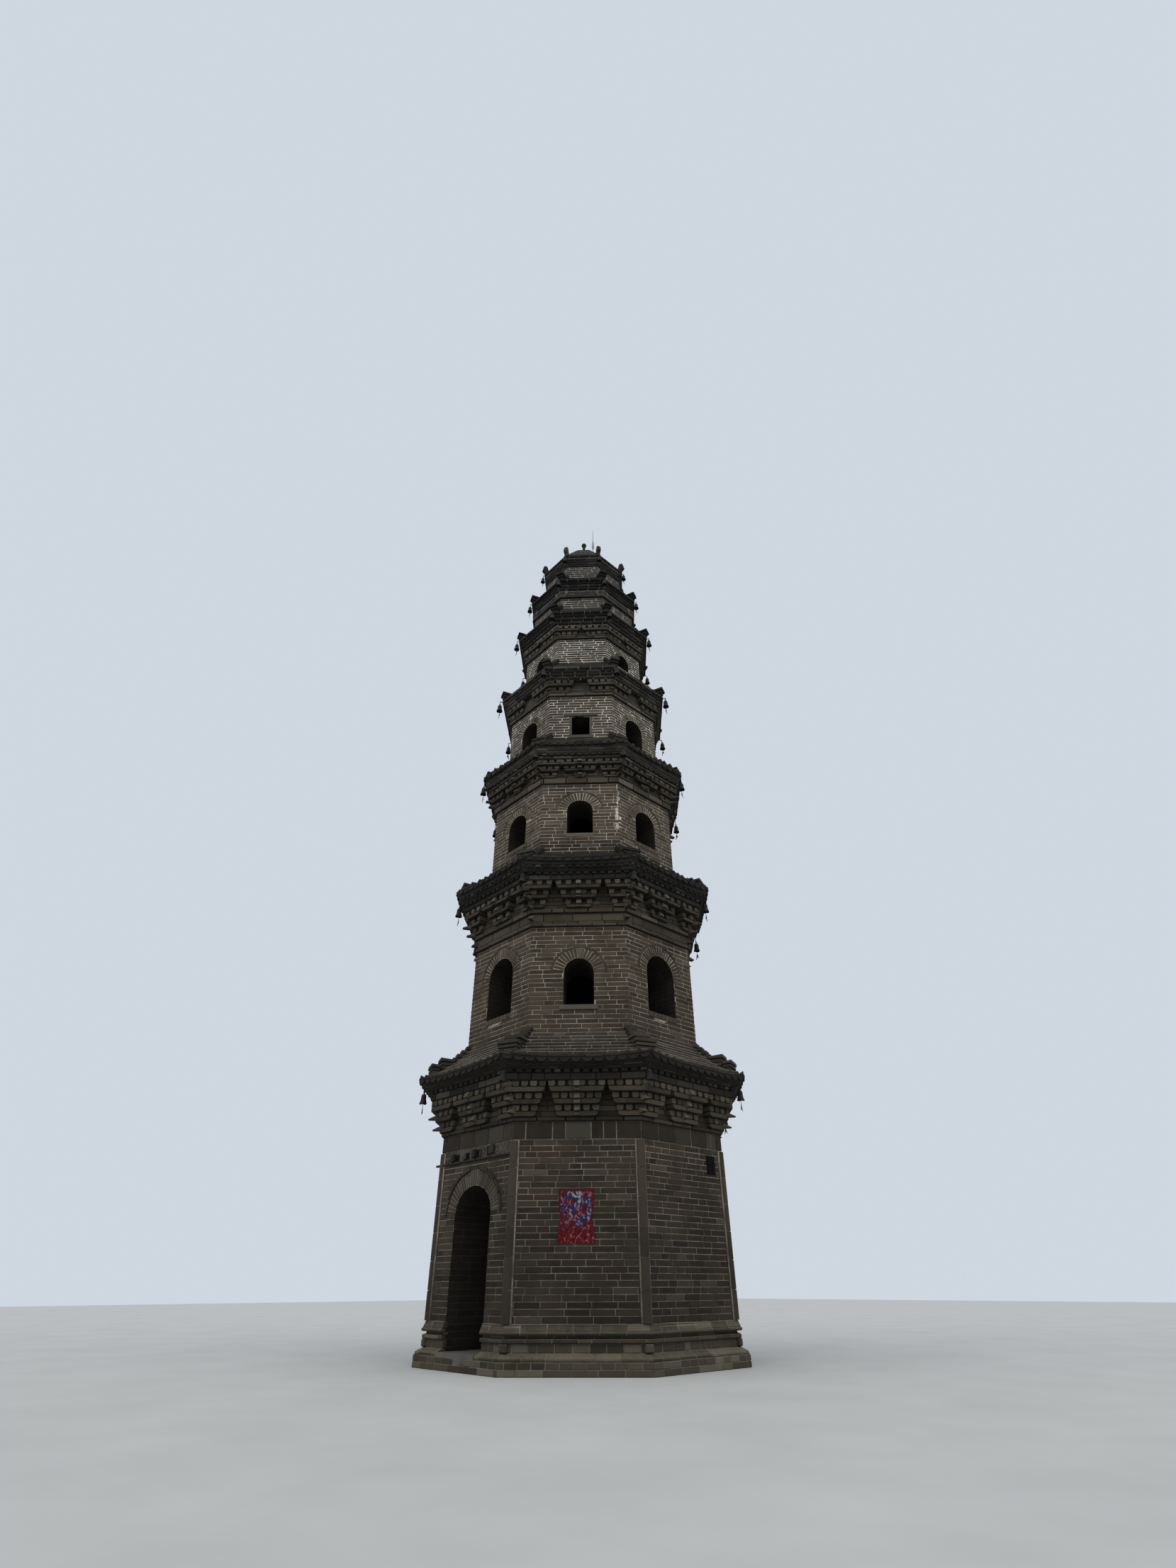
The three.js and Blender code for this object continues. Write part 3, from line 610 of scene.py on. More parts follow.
class Storey(namedtuple("Storey", "number base radius wall_top band_low bracket_low bracket_top cornice_top edge_low "
                                  "edge_top tip lift roof_top tiers project core")):
    """One row of the table, and what follows from it."""

    @property
    def flat(self):
        return self.radius * TO_FACE

    @property
    def back(self):
        """The corner radius of the masonry behind the brackets."""
        return self.radius + 0.02

    @property
    def under(self):
        """The corner radius of the outermost tier of brackets."""
        return self.back + self.project

    @property
    def eave_start(self):
        """The corner radius at which the eave starts to step out."""
        return self.radius + 0.01 if self.number == 7 else self.under + (0.06 if self.is_low else 0.0)

    @property
    def edge(self):
        return (self.tip, self.edge_low, self.edge_top)

    @property
    def half(self):
        """Half the width of a face at the eave's edge."""
        return self.tip * TO_EDGE

    @property
    def is_low(self):
        """One of the three storeys whose eaves have a cornice and drip tiles."""
        return self.number <= 3

    @property
    def slope_end(self):
        return STOREYS[self.number + 1].radius + 0.05

    @property
    def slope_run(self):
        return self.tip - 0.04 - self.slope_end

    @property
    def tier_height(self):
        return (self.bracket_top - self.bracket_low) / self.tiers

    def tier_reach(self, tier):
        return self.back + self.project * (tier + 1) / self.tiers


STOREYS = {row[0]: Storey(*row) for row in (
    (1, 0.566, 2.600, 2.905, 3.160, 3.224, 3.730, 3.893, 3.965, 4.060, 3.170, 0.075, 4.620, 3, 0.280, 1.407),
    (2, 4.620, 2.330, 6.590, 6.590, 6.957, 7.446, 7.601, 7.760, 7.850, 2.880, 0.060, 8.260, 3, 0.290, 1.353),
    (3, 8.260, 2.140, 10.000, 10.000, 10.140, 10.535, 10.645, 10.840, 10.935, 2.530, 0.050, 11.400, 3, 0.220, 1.299),
    (4, 11.400, 1.930, 12.709, 12.709, 12.794, 13.155, 13.155, 13.390, 13.480, 2.240, 0.0, 14.060, 2, 0.135, 1.190),
    (5, 14.060, 1.640, 14.937, 14.937, 14.995, 15.368, 15.368, 15.700, 15.790, 1.920, 0.0, 16.240, 2, 0.110, 0.974),
    (6, 16.240, 1.500, 16.690, 16.690, 16.740, 16.977, 16.977, 17.330, 17.420, 1.620, 0.0, 17.880, 1, 0.040, 0.0),
    (7, 17.880, 1.170, 18.400, 18.400, 18.400, 18.400, 18.400, 18.750, 18.860, 1.280, 0.0, 20.620, 0, 0.0, 0.0))}
EAVES = [STOREYS[number] for number in range(1, 7)]
SQUARE_ON = FACES[::2]
DIAGONAL = FACES[1::2]
Hole = namedtuple("Hole", "storey faces width sill spring top ring")
DOOR = Hole(1, (0,), 0.970, 0.205, 1.960, 2.350, 0.22)
OPENINGS = [
    DOOR,
    Hole(2, DIAGONAL, 0.555, 5.120, 5.710, 5.980, 0.20), Hole(2, SQUARE_ON, 0.750, 5.110, 5.860, 6.235, 0.19),
    Hole(3, DIAGONAL, 0.550, 8.775, 9.350, 9.590, 0.19), Hole(3, SQUARE_ON, 0.600, 8.760, 9.310, 9.585, 0.18),
    Hole(4, DIAGONAL, 0.425, 11.540, 12.100, 12.100, 0.0), Hole(4, SQUARE_ON, 0.560, 11.540, 12.050, 12.330, 0.17),
    Hole(5, SQUARE_ON, 0.420, 14.250, 14.450, 14.730, 0.11),
]
JAMB_LIP = 0.003


def hole_in(number, azimuth):
    return next((hole for hole in OPENINGS if hole.storey == number and azimuth in hole.faces), None)


def edge_of(hole):
    """Half the width that bricks keep clear of at a height: the jamb from behind the sill up, then the ring."""
    crown = hole.top + hole.ring

    def half_width(z):
        if z < hole.sill - 0.09 or z > crown:
            return 0.0
        if z <= hole.spring + 0.001:
            return hole.width / 2 - JAMB_LIP
        share = (z - hole.spring) / (crown - hole.spring)
        return (hole.width / 2 + hole.ring) * math.sqrt(max(1 - share ** 2, 0.0))
    return half_width


def levels(low, high, height):
    """The bottoms of the courses that fill a height, and the step between them."""
    count = max(round((high - low) / height), 1)
    step = (high - low) / count
    return [low + step * place for place in range(count)], step


print(len(STOREYS), "storeys,", sum(len(hole.faces) for hole in OPENINGS), "openings")

# %% [markdown]
# ## Plain walls
# Seen from the ground, the walls are what makes the tower: long thin grey-brown bricks in pale beds, which grow
# wider storey by storey. The solids stay behind them as the mortar, and each brick stands 6 mm proud with its edges
# rounded. Every wall is one piece.

# %% Lay the walls of all seven storeys
PROUD = 0.006
SUNK = 0.012
WALL_PLAY = 0.004


def lay_wall(mesh, azimuth, storey):
    hole = hole_in(storey.number, azimuth)
    opening = edge_of(hole) if hole else None
    bed = JOINTS[storey.number]
    bottoms, step = levels(storey.base + WALL_PLAY, storey.wall_top - WALL_PLAY, COURSE_HEIGHT)
    for course, bottom in enumerate(bottoms):
        low = bottom + bed / 2
        redder = storey.number == 1 and azimuth == 90 and course > len(bottoms) / 2
        lay_course(mesh, box(storey.flat - SUNK, storey.flat + PROUD, low, low + step - bed), storey.radius * TO_EDGE,
                   joint=bed, opening=opening, warm_share=0.55 if redder else 0.25)


for number, storey in STOREYS.items():
    dice.seed(number)
    finished(f"wall_bricks_{number}", all_faces(lay_wall, storey), wall_brick)
coat(lime_mortar, "wall_1_door", "wall_1_front_right", "wall_1_rear", "wall_6", "wall_7", "plinth", "ground_floor")
for number in range(2, 6):
    coat(lime_mortar, f"wall_{number}_front", f"wall_{number}_rear")
    coat(board_finish, f"floor_{number}")
print("wall bricks take", sum(piece_sizes.values()), "triangles")

# %% [markdown]
# ## Rings round the openings
# An arch here is a ring of headers set on edge: each brick points to the middle of the arch and is narrower at its
# inner end. The ring follows the same ellipse as the opening, so the spacing is worked out on the inner and on the
# outer curve. Around the ring runs a thin outer course. Windows have a sill of stone or of bricks on edge.

# %% Voussoirs, outer course and sills
VOUSSOIR = 0.062
OUTER_PIECES = 9
SILLS = {2: (0.07, 0.022, 0.9), 3: (0.02, 0.010, 0.9), 4: (0.07, 0.022, 0.3)}


def arch_point(hole, angle, beyond):
    """A point on the arch at an angle from its right end, moved outwards along the curve's own direction."""
    wide = hole.width / 2
    rise = hole.top - hole.spring
    foot = Vector((wide * math.cos(angle), rise * math.sin(angle)))
    away = Vector((math.cos(angle) / wide, math.sin(angle) / rise)).normalized()
    return foot + away * beyond + Vector((0.0, hole.spring))


def voussoirs(mesh, hole, flat):
    count = round(math.pi * (hole.width / 2 + hole.top - hole.spring + hole.ring) / 2 / VOUSSOIR)
    for number in range(count):
        start, end = (math.pi * (number + share) / count for share in (0.13, 0.87))
        outer = hole.ring - 0.008
        outline = [arch_point(hole, turn, beyond)
                   for turn, beyond in ((start, 0.004), (start, outer), (end, outer), (end, 0.004))]
        front = flat + PROUD + dice.uniform(0.000, 0.004)
        tint = brick_marks(0.3, 0.15)
        if hole is DOOR:
            share = number / count
            limed = abs(share - 0.5) < 0.12 or share < 0.25
            lime = dice.uniform(0.7, 1.0) if limed else dice.uniform(0.15, 0.55)
            tint = (dice.uniform(0.35, 1.0), dice.uniform(0.0, 0.7), lime)
        push_out(mesh, outline, flat - SUNK, front, tint)


def outer_course(mesh, hole, flat):
    width, proud = (0.055, 0.026) if hole is DOOR else (0.035, 0.014)
    inner = hole.ring + 0.006
    for number in range(OUTER_PIECES):
        turns = [math.pi * (number + share) / OUTER_PIECES for share in (0.03, 0.35, 0.66, 0.97)]
        outline = [arch_point(hole, turn, inner) for turn in turns]
        outline += [arch_point(hole, turn, inner + width) for turn in reversed(turns)]
        push_out(mesh, outline, flat - SUNK, flat + proud, brick_marks())


def dress_openings(mesh, azimuth, storey):
    hole = hole_in(storey.number, azimuth)
    if not hole:
        return
    if hole.ring:
        voussoirs(mesh, hole, storey.flat)
        if storey.number <= 3:
            outer_course(mesh, hole, storey.flat)
    if hole is not DOOR and storey.number <= 4 and azimuth in SQUARE_ON:
        sill = box(storey.flat - 0.10, storey.flat + 0.016, hole.sill - 0.098, hole.sill - 0.004)
        for place in range(-3, 4):
            left = place * 0.105 - 0.047
            sweep_across(mesh, sill, left, left + 0.094, (dice.uniform(0.5, 1.0), 0.1, dice.uniform(0.2, 0.5)))


for storey in EAVES[:5]:
    dice.seed(20 + storey.number)
    finished(f"arch_bricks_{storey.number}", all_faces(dress_openings, storey, cut=False), wall_brick)


def stone_trim(mesh, azimuth):
    """Sills of storeys two to four, then the lintels and jambs of storey four's square windows."""
    for number, (beyond, proud, lime) in SILLS.items():
        hole, flat = hole_in(number, azimuth), STOREYS[number].flat
        reach = hole.width / 2 + beyond
        sweep_across(mesh, box(flat - 0.18, flat + proud, hole.sill - 0.095, hole.sill - 0.003), -reach, reach,
                     (1.0, 0.2, lime))
    hole, flat = hole_in(4, azimuth), STOREYS[4].flat
    sweep_across(mesh, box(flat - 0.10, flat + 0.022, hole.top + 0.002, hole.top + 0.095), -0.400, 0.400,
                 (0.6, 0.2, 0.2))
    jamb = hole.width / 2 - JAMB_LIP
    for side in (-1, 1):
        for start, end, behind, proud, low, tint in (
                (jamb, 0.265, 0.10, 0.012, hole.sill, (0.9, 0.2, 0.5)),
                (0.155, jamb - 0.002, 0.12, 0.010, hole.top - 0.040, (0.3, 0.2, 0.2))):
            sweep_across(mesh, box(flat - behind, flat + proud, low, hole.top - 0.002),
                         *sorted((side * start, side * end)), tint)


finished("window_stones", all_faces(stone_trim, wear=0.006, faces=DIAGONAL, cut=False), window_stone)
print("arches and sills dressed")

# %% [markdown]
# ## Plinth and pedestal
# The foot of the tower is two courses of large bricks, then moulded bricks: a foot that slopes in, a recessed waist
# with posts on its corners, a fillet, a dark shadow gap, a roll and a hollow that leads to the wall. Each course is
# one section swept brick by brick. The solids stay behind as bedding, and the courses stop at the doorway.

# %% Moulded courses of the foot
def gateway(z):
    """Half the doorway's width through the pedestal."""
    return DOOR.width / 2 - JAMB_LIP if z > 0.15 else 0.0


def moulded(points):
    """A section from (corner radius, height) points, its back 6 cm inside its smallest radius."""
    fronts = [(radius * TO_FACE + PROUD, z) for radius, z in points]
    back = min(out for out, _ in fronts) - 0.06
    return [(back, fronts[0][1])] + fronts + [(back, fronts[-1][1])]


FOOT_COURSES = [
    (0.37, 0.0, [(2.760, 0.003), (2.760, 0.074)]),
    (0.185, 0.0, [(2.760, 0.083), (2.760, 0.146), (2.755, 0.155)]),
    (0.34, 0.1, [(2.740, 0.162), (2.740, 0.190), (2.712, 0.206), (2.672, 0.222), (2.625, 0.241)]),
    (0.24, 0.3, [(2.610, 0.250), (2.610, 0.342)]),
    (0.37, 0.1, [(2.640, 0.349), (2.650, 0.361), (2.650, 0.397)]),
    (0.37, 0.2, [(2.590, 0.404), (2.590, 0.434)]),
    (0.37, 0.0, [(2.655, 0.440), (2.668, 0.449), (2.673, 0.4615), (2.668, 0.474), (2.655, 0.483)]),
    (0.37, 0.0, [(2.655, 0.488), (2.640, 0.512), (2.626, 0.538), (2.620, 0.562)]),
]


def lay_foot(mesh, azimuth):
    for length, headers, points in FOOT_COURSES:
        section = moulded(points)
        lay_course(mesh, section, max(out for out, _ in section) * math.tan(HALF_TURN), length=length,
                   headers=headers, lime_share=0.2, opening=gateway if azimuth == 0 else None)


def lay_post(mesh, azimuth):
    """One of the waist's corner posts, an upright brick."""
    sweep_across(mesh, box(2.56, 2.652, 0.246, 0.346), -0.06, 0.06, brick_marks())


dice.seed(40)
finished("foot_bricks", all_faces(lay_foot, wear=0.004), foot_brick)
finished("waist_posts", all_corners(lay_post, wear=0.012), foot_brick)
coat(lime_mortar, "pedestal_base", "pedestal_cap")
coat(step_stone, "doorstep")
print("eight moulded courses and the doorstep")

# %% [markdown]
# ## Corner columns and the frieze of storey one
# Slender half-round columns of moulded brick stand on the corners of the first storey, in pieces about 0.4 m high
# with pale joints. Over them and over the walls runs a frieze of large bricks set upright. Both stand for the one
# solid that holds the columns and the frieze together, so its ring is made again behind them as mortar.

# %% Columns in short drums, and upright bricks
COLUMN_SIDES = 16
COLUMN_FOOT, COLUMN_HEAD, DRUMS = 0.570, 2.901, 6
FRIEZE_RADIUS = 2.615


def lay_column(mesh, azimuth):
    step = (COLUMN_HEAD - COLUMN_FOOT) / DRUMS
    height = step - 0.010
    for number in range(DRUMS):
        middle = (0, -2.570, COLUMN_FOOT + step * number + height / 2)
        bar(mesh, Matrix.Translation(middle), height, 0.076, COLUMN_SIDES,
            (dice.uniform(0.5, 1.0), dice.uniform(0.0, 0.15), dice.uniform(0.1, 0.5)))


def lay_column_joints(mesh, azimuth):
    bar(mesh, Matrix.Translation((0, -2.540, 1.736)), 2.33, 0.092, COLUMN_SIDES, (0.5, 0.2, 0.5))


def lay_frieze(mesh, azimuth):
    flat = FRIEZE_RADIUS * TO_FACE
    lay_course(mesh, box(flat - 0.03, flat + 0.010, 2.913, 3.153), FRIEZE_RADIUS * TO_EDGE, length=0.41,
               headers=0.25, joint=0.018, lime_share=0.2)


finished("corner_columns", all_corners(lay_column, wear=0.0), wall_brick)
bedding = backing_ring(STOREYS[1].core, [(2.612, 2.905), (2.612, 3.1597)])
turn_into(bedding, all_corners(lay_column_joints, wear=0.0), 0)
finished("column_bedding", bedding, lime_mortar, stands_for=("columns_and_frieze",))
finished("frieze_bricks", all_faces(lay_frieze, wear=0.005), string_brick)
print("columns and frieze")

# %% [markdown]
# ## String courses
# Under every row of brackets a course of thicker bricks steps out by 5 cm. Its lower edge is cut back, which gives
# the line of shadow that rings the tower. Storey two has two such courses with a frieze of long slabs between them.

# %% String courses and storey two's frieze
STRING_PROUD = 0.050


def string_section(radius, low, high, cut):
    out = radius * TO_FACE
    return [(out - 0.10, low), (out - cut, low), (out, low + cut), (out, high), (out - 0.10, high)]


def lay_band(mesh, azimuth, storey):
    low, high = storey.band_low, storey.bracket_low
    proud = storey.back + STRING_PROUD
    bands = [(low, low + 0.050), (high - 0.090, high)] if storey.number == 2 else [(low, high)]
    courses = [(string_section(proud, bottom + 0.002, top - 0.004, 0.012), 0.47) for bottom, top in bands]
    if storey.number == 2:
        flat = (storey.radius + 0.022) * TO_FACE
        courses += [(box(flat - 0.05, flat, low + 0.056, low + 0.115), 0.50),
                    (box(flat - 0.05, flat - 0.004, low + 0.120, high - 0.104), 0.56)]
    for section, length in courses:
        lay_course(mesh, section, proud * TO_EDGE, length=length, headers=0.1, joint=0.020, lime_share=0.15)


for storey in EAVES:
    dice.seed(60 + storey.number)
    finished(f"string_bricks_{storey.number}", all_faces(lay_band, storey, wear=0.004), string_brick)
print("six string courses")

# %% [markdown]
# ## Bracket sets
# The eaves rest on sets of brackets that copy timberwork in brick. A set has tiers, each one a boat-shaped arm with
# a row of small caps on it, and each tier reaches further out and is wider than the one below. Eaves one to three
# have a set in the middle of every face and one round every corner; above them only the corners have one. The
# middle of each set and every corner sends out a pointed beak. Arms and caps are outlines pushed outwards.

# %% Arms, caps and beaks
MIDDLE_SETS = {1: (0.335, 0.375, 0.440), 2: (0.240, 0.330, 0.420), 3: (0.110, 0.330, 0.430)}
CORNER_SETS = {1: (0.655, 0.585, 0.515), 2: (0.660, 0.600, 0.530), 3: (0.520, 0.470, 0.420), 4: (0.270, 0.190),
               5: (0.135, 0.030), 6: (0.400,)}
CAP_PITCH = {1: 0.148, 2: 0.205}
BEAK_DROP = {1: 0.24, 2: -0.12, 3: 0.15}


def boat(left, right, low, high):
    """An arm's outline: square above, its lower ends rounded off."""
    curve = min(0.05, (high - low) * 0.7)
    return [(left, high), (left, low + curve), (left + curve * 0.3, low + curve * 0.3), (left + curve, low),
            (right - curve, low), (right - curve * 0.3, low + curve * 0.3), (right, low + curve), (right, high)]


def cap(centre, low, high, width):
    foot, half, knee = width * 0.36, width / 2, low + (high - low) * 0.45
    return [(centre - foot, low), (centre + foot, low), (centre + half, knee), (centre + half, high),
            (centre - half, high), (centre - half, knee)]


def lay_tier(mesh, storey, tier, left, right):
    """One arm with its row of caps, the outermost caps on the arm's ends."""
    height = storey.tier_height
    low = storey.bracket_low + height * tier + 0.004
    split = low + height * (0.42 if storey.number == 1 else 0.36)
    top = low + height - 0.006
    wall, reach = storey.back * TO_FACE - 0.02, storey.tier_reach(tier) * TO_FACE
    push_out(mesh, boat(left, right, low, split), wall, reach, (dice.uniform(0.0, 0.6), dice.uniform(0.0, 0.4), 0.1))
    push_out(mesh, box(left + 0.03, right - 0.03, split + 0.002, top), wall, reach - 0.050, (0.0, 0.1, 0.0))
    first, last = left + 0.035, right - 0.035
    count = max(round((last - first) / CAP_PITCH.get(storey.number, 0.16)), 1)
    for place in range(count + 1):
        centre = first + (last - first) * place / count
        push_out(mesh, cap(centre, split + 0.008, top, 0.105 if storey.number == 2 else 0.110), wall + 0.03,
                 reach + dice.uniform(-0.01, 0.01), (dice.uniform(0.3, 1.0), 0.1, dice.uniform(0.0, 0.6)))
    return low, split, top, reach


def beak(mesh, reach, low, high, width, length, tint):
    """A pointed block: flat underside, top sloping down to its tip."""
    sweep_across(mesh, [(reach - 0.06, low), (reach + length - 0.02, low - 0.006), (reach + length, low + 0.010),
                        (reach + 0.01, high), (reach - 0.06, high)], -width / 2, width / 2, tint)


def lay_between_sets(mesh, azimuth, storey):
    """The plain bricks that show between two sets."""
    out = storey.back * TO_FACE
    bottoms, step = levels(storey.bracket_low, storey.bracket_top, 0.085)
    for low in bottoms:
        lay_course(mesh, box(out - 0.03, out + PROUD, low + 0.005, low + step - 0.006), storey.back * TO_EDGE,
                   lime_share=0.1)


def lay_brackets(mesh, azimuth, storey):
    for tier, width in enumerate(MIDDLE_SETS.get(storey.number, ())):
        low, split, top, reach = lay_tier(mesh, storey, tier, -width, width)
        beak(mesh, reach, low, split - 0.01, 0.10, 0.030, brick_marks())
        beak(mesh, reach, split, top, 0.092, 0.060, (1.0, 0.1, 0.9))
    for tier, inner in enumerate(CORNER_SETS[storey.number]):
        for side in (-1, 1):
            lay_tier(mesh, storey, tier, *sorted((side * inner, side * (storey.back * TO_EDGE + 0.45))))


def lay_corner_beaks(mesh, azimuth, storey):
    """Long beaks on all but the last tier, which ends bluntly, and one on storey two's lower string course."""
    height = storey.tier_height
    for tier in range(storey.tiers):
        reach = storey.tier_reach(tier)
        low = storey.bracket_low + height * tier
        length = (0.15 if storey.number < 4 else 0.07) if tier < storey.tiers - 1 else 0.0
        drop = low + height * BEAK_DROP.get(storey.number, 0.4)
        beak(mesh, reach - 0.02, drop, drop + height * 0.48, 0.095, length, (0.9, 0.1, 0.4))
        beak(mesh, reach - 0.03, low + height * 0.56, low + height * 0.94, 0.12, 0.03, brick_marks())
    if storey.number == 2:
        beak(mesh, 2.355, 6.735, 6.830, 0.09, 0.10, brick_marks())


for storey in EAVES:
    number = storey.number
    dice.seed(80 + number)
    ring = backing_ring(storey.core, [(storey.radius + 0.004, storey.band_low), (storey.back, storey.bracket_low),
                                      (storey.back, storey.bracket_top - FIT)])
    finished(f"bracket_bedding_{number}", ring, soot_and_shade_mortar, stands_for=(f"brackets_{number}",))
    finished(f"between_brackets_{number}", all_faces(lay_between_sets, storey, wear=0.004), string_brick)
    sets = all_faces(lay_brackets, storey, wear=0.004)
    turn_into(sets, all_corners(lay_corner_beaks, storey, wear=0.004), 0)
    finished(f"bracket_sets_{number}", sets, bracket_brick)
print("bracket sets bring it to", sum(piece_sizes.values()), "triangles")

# %% [markdown]
# ## Cornices: flat course and rafter ends
# On the brackets of the first three eaves lies a course of flat slabs, and on it a row of blocks that copy rafter
# ends. Eave two has two rows. The rows rise towards the corners with the eave, which is done by lifting every
# vertex by the third power of how near it is to the corner.

# %% Flat slabs and rafter ends
RAFTER_PITCH = 0.155


def lay_cornice(mesh, azimuth, storey):
    under, low, high = storey.under, storey.bracket_top, storey.cornice_top
    split = low + (high - low) * 0.65
    half = (under + 0.06) * TO_EDGE
    lay_course(mesh, string_section(under + 0.030, low + 0.003, split - 0.004, 0.006), half, length=0.42,
               headers=0.1, lime_share=0.2)
    reach = (under + 0.066) * TO_FACE
    count = 2 * round(half / RAFTER_PITCH) + 1
    for place in range(-count, count + 1):
        centre = place * RAFTER_PITCH
        outline = [(centre - 0.047, split), (centre + 0.047, split), (centre + 0.050, high), (centre - 0.050, high)]
        push_out(mesh, outline, (under + 0.030) * TO_FACE - 0.14, reach + dice.uniform(-0.004, 0.006),
                 brick_marks(0.1, 0.2))
    lifted_edge(mesh, storey.lift * 0.35, under * TO_FACE - 0.02, reach)


for storey in EAVES[:3]:
    number = storey.number
    dice.seed(100 + number)
    ring = backing_ring(storey.core, [(storey.under + 0.005, storey.bracket_top),
                                      (storey.under + 0.005, storey.cornice_top - FIT)])
    finished(f"cornice_bedding_{number}", ring, soot_and_shade_mortar, stands_for=(f"cornice_{number}",))
    finished(f"rafter_ends_{number}", all_faces(lay_cornice, storey, wear=0.005), eave_brick)
print("three cornices")

# %% [markdown]
# ## Eaves and short roofs
# Above the cornice the eave steps out in thin courses to its edge, where the first three eaves carry scalloped drip
# tiles. From there the roof steps back in courses of brick up to the next storey's wall. Behind the courses lies a
# plain body with the same profile. It is swept in short lengths, so that it can lift with the eave's corners.

# %% Eave courses, drip tiles and the stepped slope
EAVE_COURSE = {"length": 0.30, "headers": 0.1}
DRIP_PITCH = 0.185
COVER_RADIUS = 0.052
BODY_PIECES = 8


def lift_roof(mesh, storey):
    lifted_edge(mesh, storey.lift, storey.eave_start * TO_FACE, storey.tip * TO_FACE)


def corbel_steps(storey):
    """The (corner radius, low, high) of each course that steps out to the edge."""
    corbels = 4 if storey.number == 7 else 3
    rise = (storey.edge_low - storey.cornice_top) / corbels
    run = (storey.tip - 0.05 - storey.eave_start) / corbels
    return [(storey.eave_start + run * (place + 1), storey.cornice_top + rise * place,
             storey.cornice_top + rise * (place + 1)) for place in range(corbels)]


def slope_steps(storey):
    """The same for the courses of the short roof, which follow a hollow curve."""
    bottoms, step = levels(storey.edge_top, storey.roof_top, 0.080)
    return [(storey.slope_end + storey.slope_run * (1 - (place + 0.35) / len(bottoms)) ** SLOPE_CURVE, low,
             storey.edge_top + step * (place + 1)) for place, low in enumerate(bottoms)]


def lay_body(mesh, azimuth, storey, steps):
    """The plain body behind a list of (corner radius, low, high) steps."""
    inner = storey.core * TO_FACE
    behind = 0.018 if storey.is_low else 0.045
    outline = [(inner, steps[0][1])]
    for radius, low, high in steps:
        out = (radius - behind) * TO_FACE
        outline += [(out, low), (out, high)]
    outline.append((inner, outline[-1][1] - FIT))
    ends = [-storey.half - 0.1, storey.half + 0.1]
    if storey.lift:
        ends = [storey.half * 2 * place / BODY_PIECES for place in range(-BODY_PIECES // 2 - 1, BODY_PIECES // 2 + 2)]
    for left, right in zip(ends, ends[1:]):
        sweep_across(mesh, outline, left, right, (0.3, 0.1, 0.1))
    lift_roof(mesh, storey)


def corbel_section(out, low, high, bed):
    low, high = low + bed / 2, high - bed / 2
    cut = (high - low) * 0.45
    return [(out - 0.12, low), (out - cut, low), (out, low + cut), (out, high), (out - 0.12, high)]


def lay_soot_and_shade_course(mesh, azimuth, storey):
    """The corbel course right under the edge, nearly black: soot together with the shade under the edge, painted in.
    """
    radius, low, high = corbel_steps(storey)[-1]
    lay_course(mesh, corbel_section(radius * TO_FACE - 0.02, low, high, 0.004), storey.half, lime_share=0.0,
               **EAVE_COURSE)
    lift_roof(mesh, storey)


def lay_eave_courses(mesh, azimuth, storey):
    steps = corbel_steps(storey)
    for place, (radius, low, high) in enumerate(steps[:-1] if storey.is_low else steps):
        out = radius * TO_FACE
        if storey.number == 2 and place == 1:
            for centre in (step * RAFTER_PITCH for step in range(-9, 10)):
                push_out(mesh, box(centre - 0.05, centre + 0.05, low, high), out - 0.12, out + 0.01,
                         brick_marks(0.1, 0.2))
        else:
            lay_course(mesh, corbel_section(out, low, high, 0.004 if storey.is_low else 0.001), storey.half,
                       lime_share=0.22, **EAVE_COURSE)
    edge, top = storey.tip * TO_FACE, storey.edge_top
    foot = top - (0.030 if storey.is_low else top - storey.edge_low - 0.001)
    section = [(edge - 0.14, foot), (edge - 0.004, foot), (edge, foot + 0.01), (edge, top - 0.006),
               (edge - 0.14, top - 0.002)]
    lay_course(mesh, section, storey.half, lime_share=0.25, **EAVE_COURSE)
    lift_roof(mesh, storey)


def lay_roof_courses(mesh, azimuth, storey):
    for radius, low, high in slope_steps(storey):
        out, nose = radius * TO_FACE, (high - low) * 0.25
        section = [(out - 0.16, low + 0.003), (out, low + 0.003), (out, high - nose),
                   (out - nose * 0.6, high - 0.005), (out - 0.16, high - 0.005)]
        lay_course(mesh, section, storey.half, headers=0.25, lime_share=0.2)
    lift_roof(mesh, storey)


def bow(centre, level, wide, tall, steps):
    """Half an ellipse, as an outline."""
    turns = [math.pi * step / steps for step in range(steps + 1)]
    return [(centre + wide * math.cos(turn), level + tall * math.sin(turn)) for turn in turns]


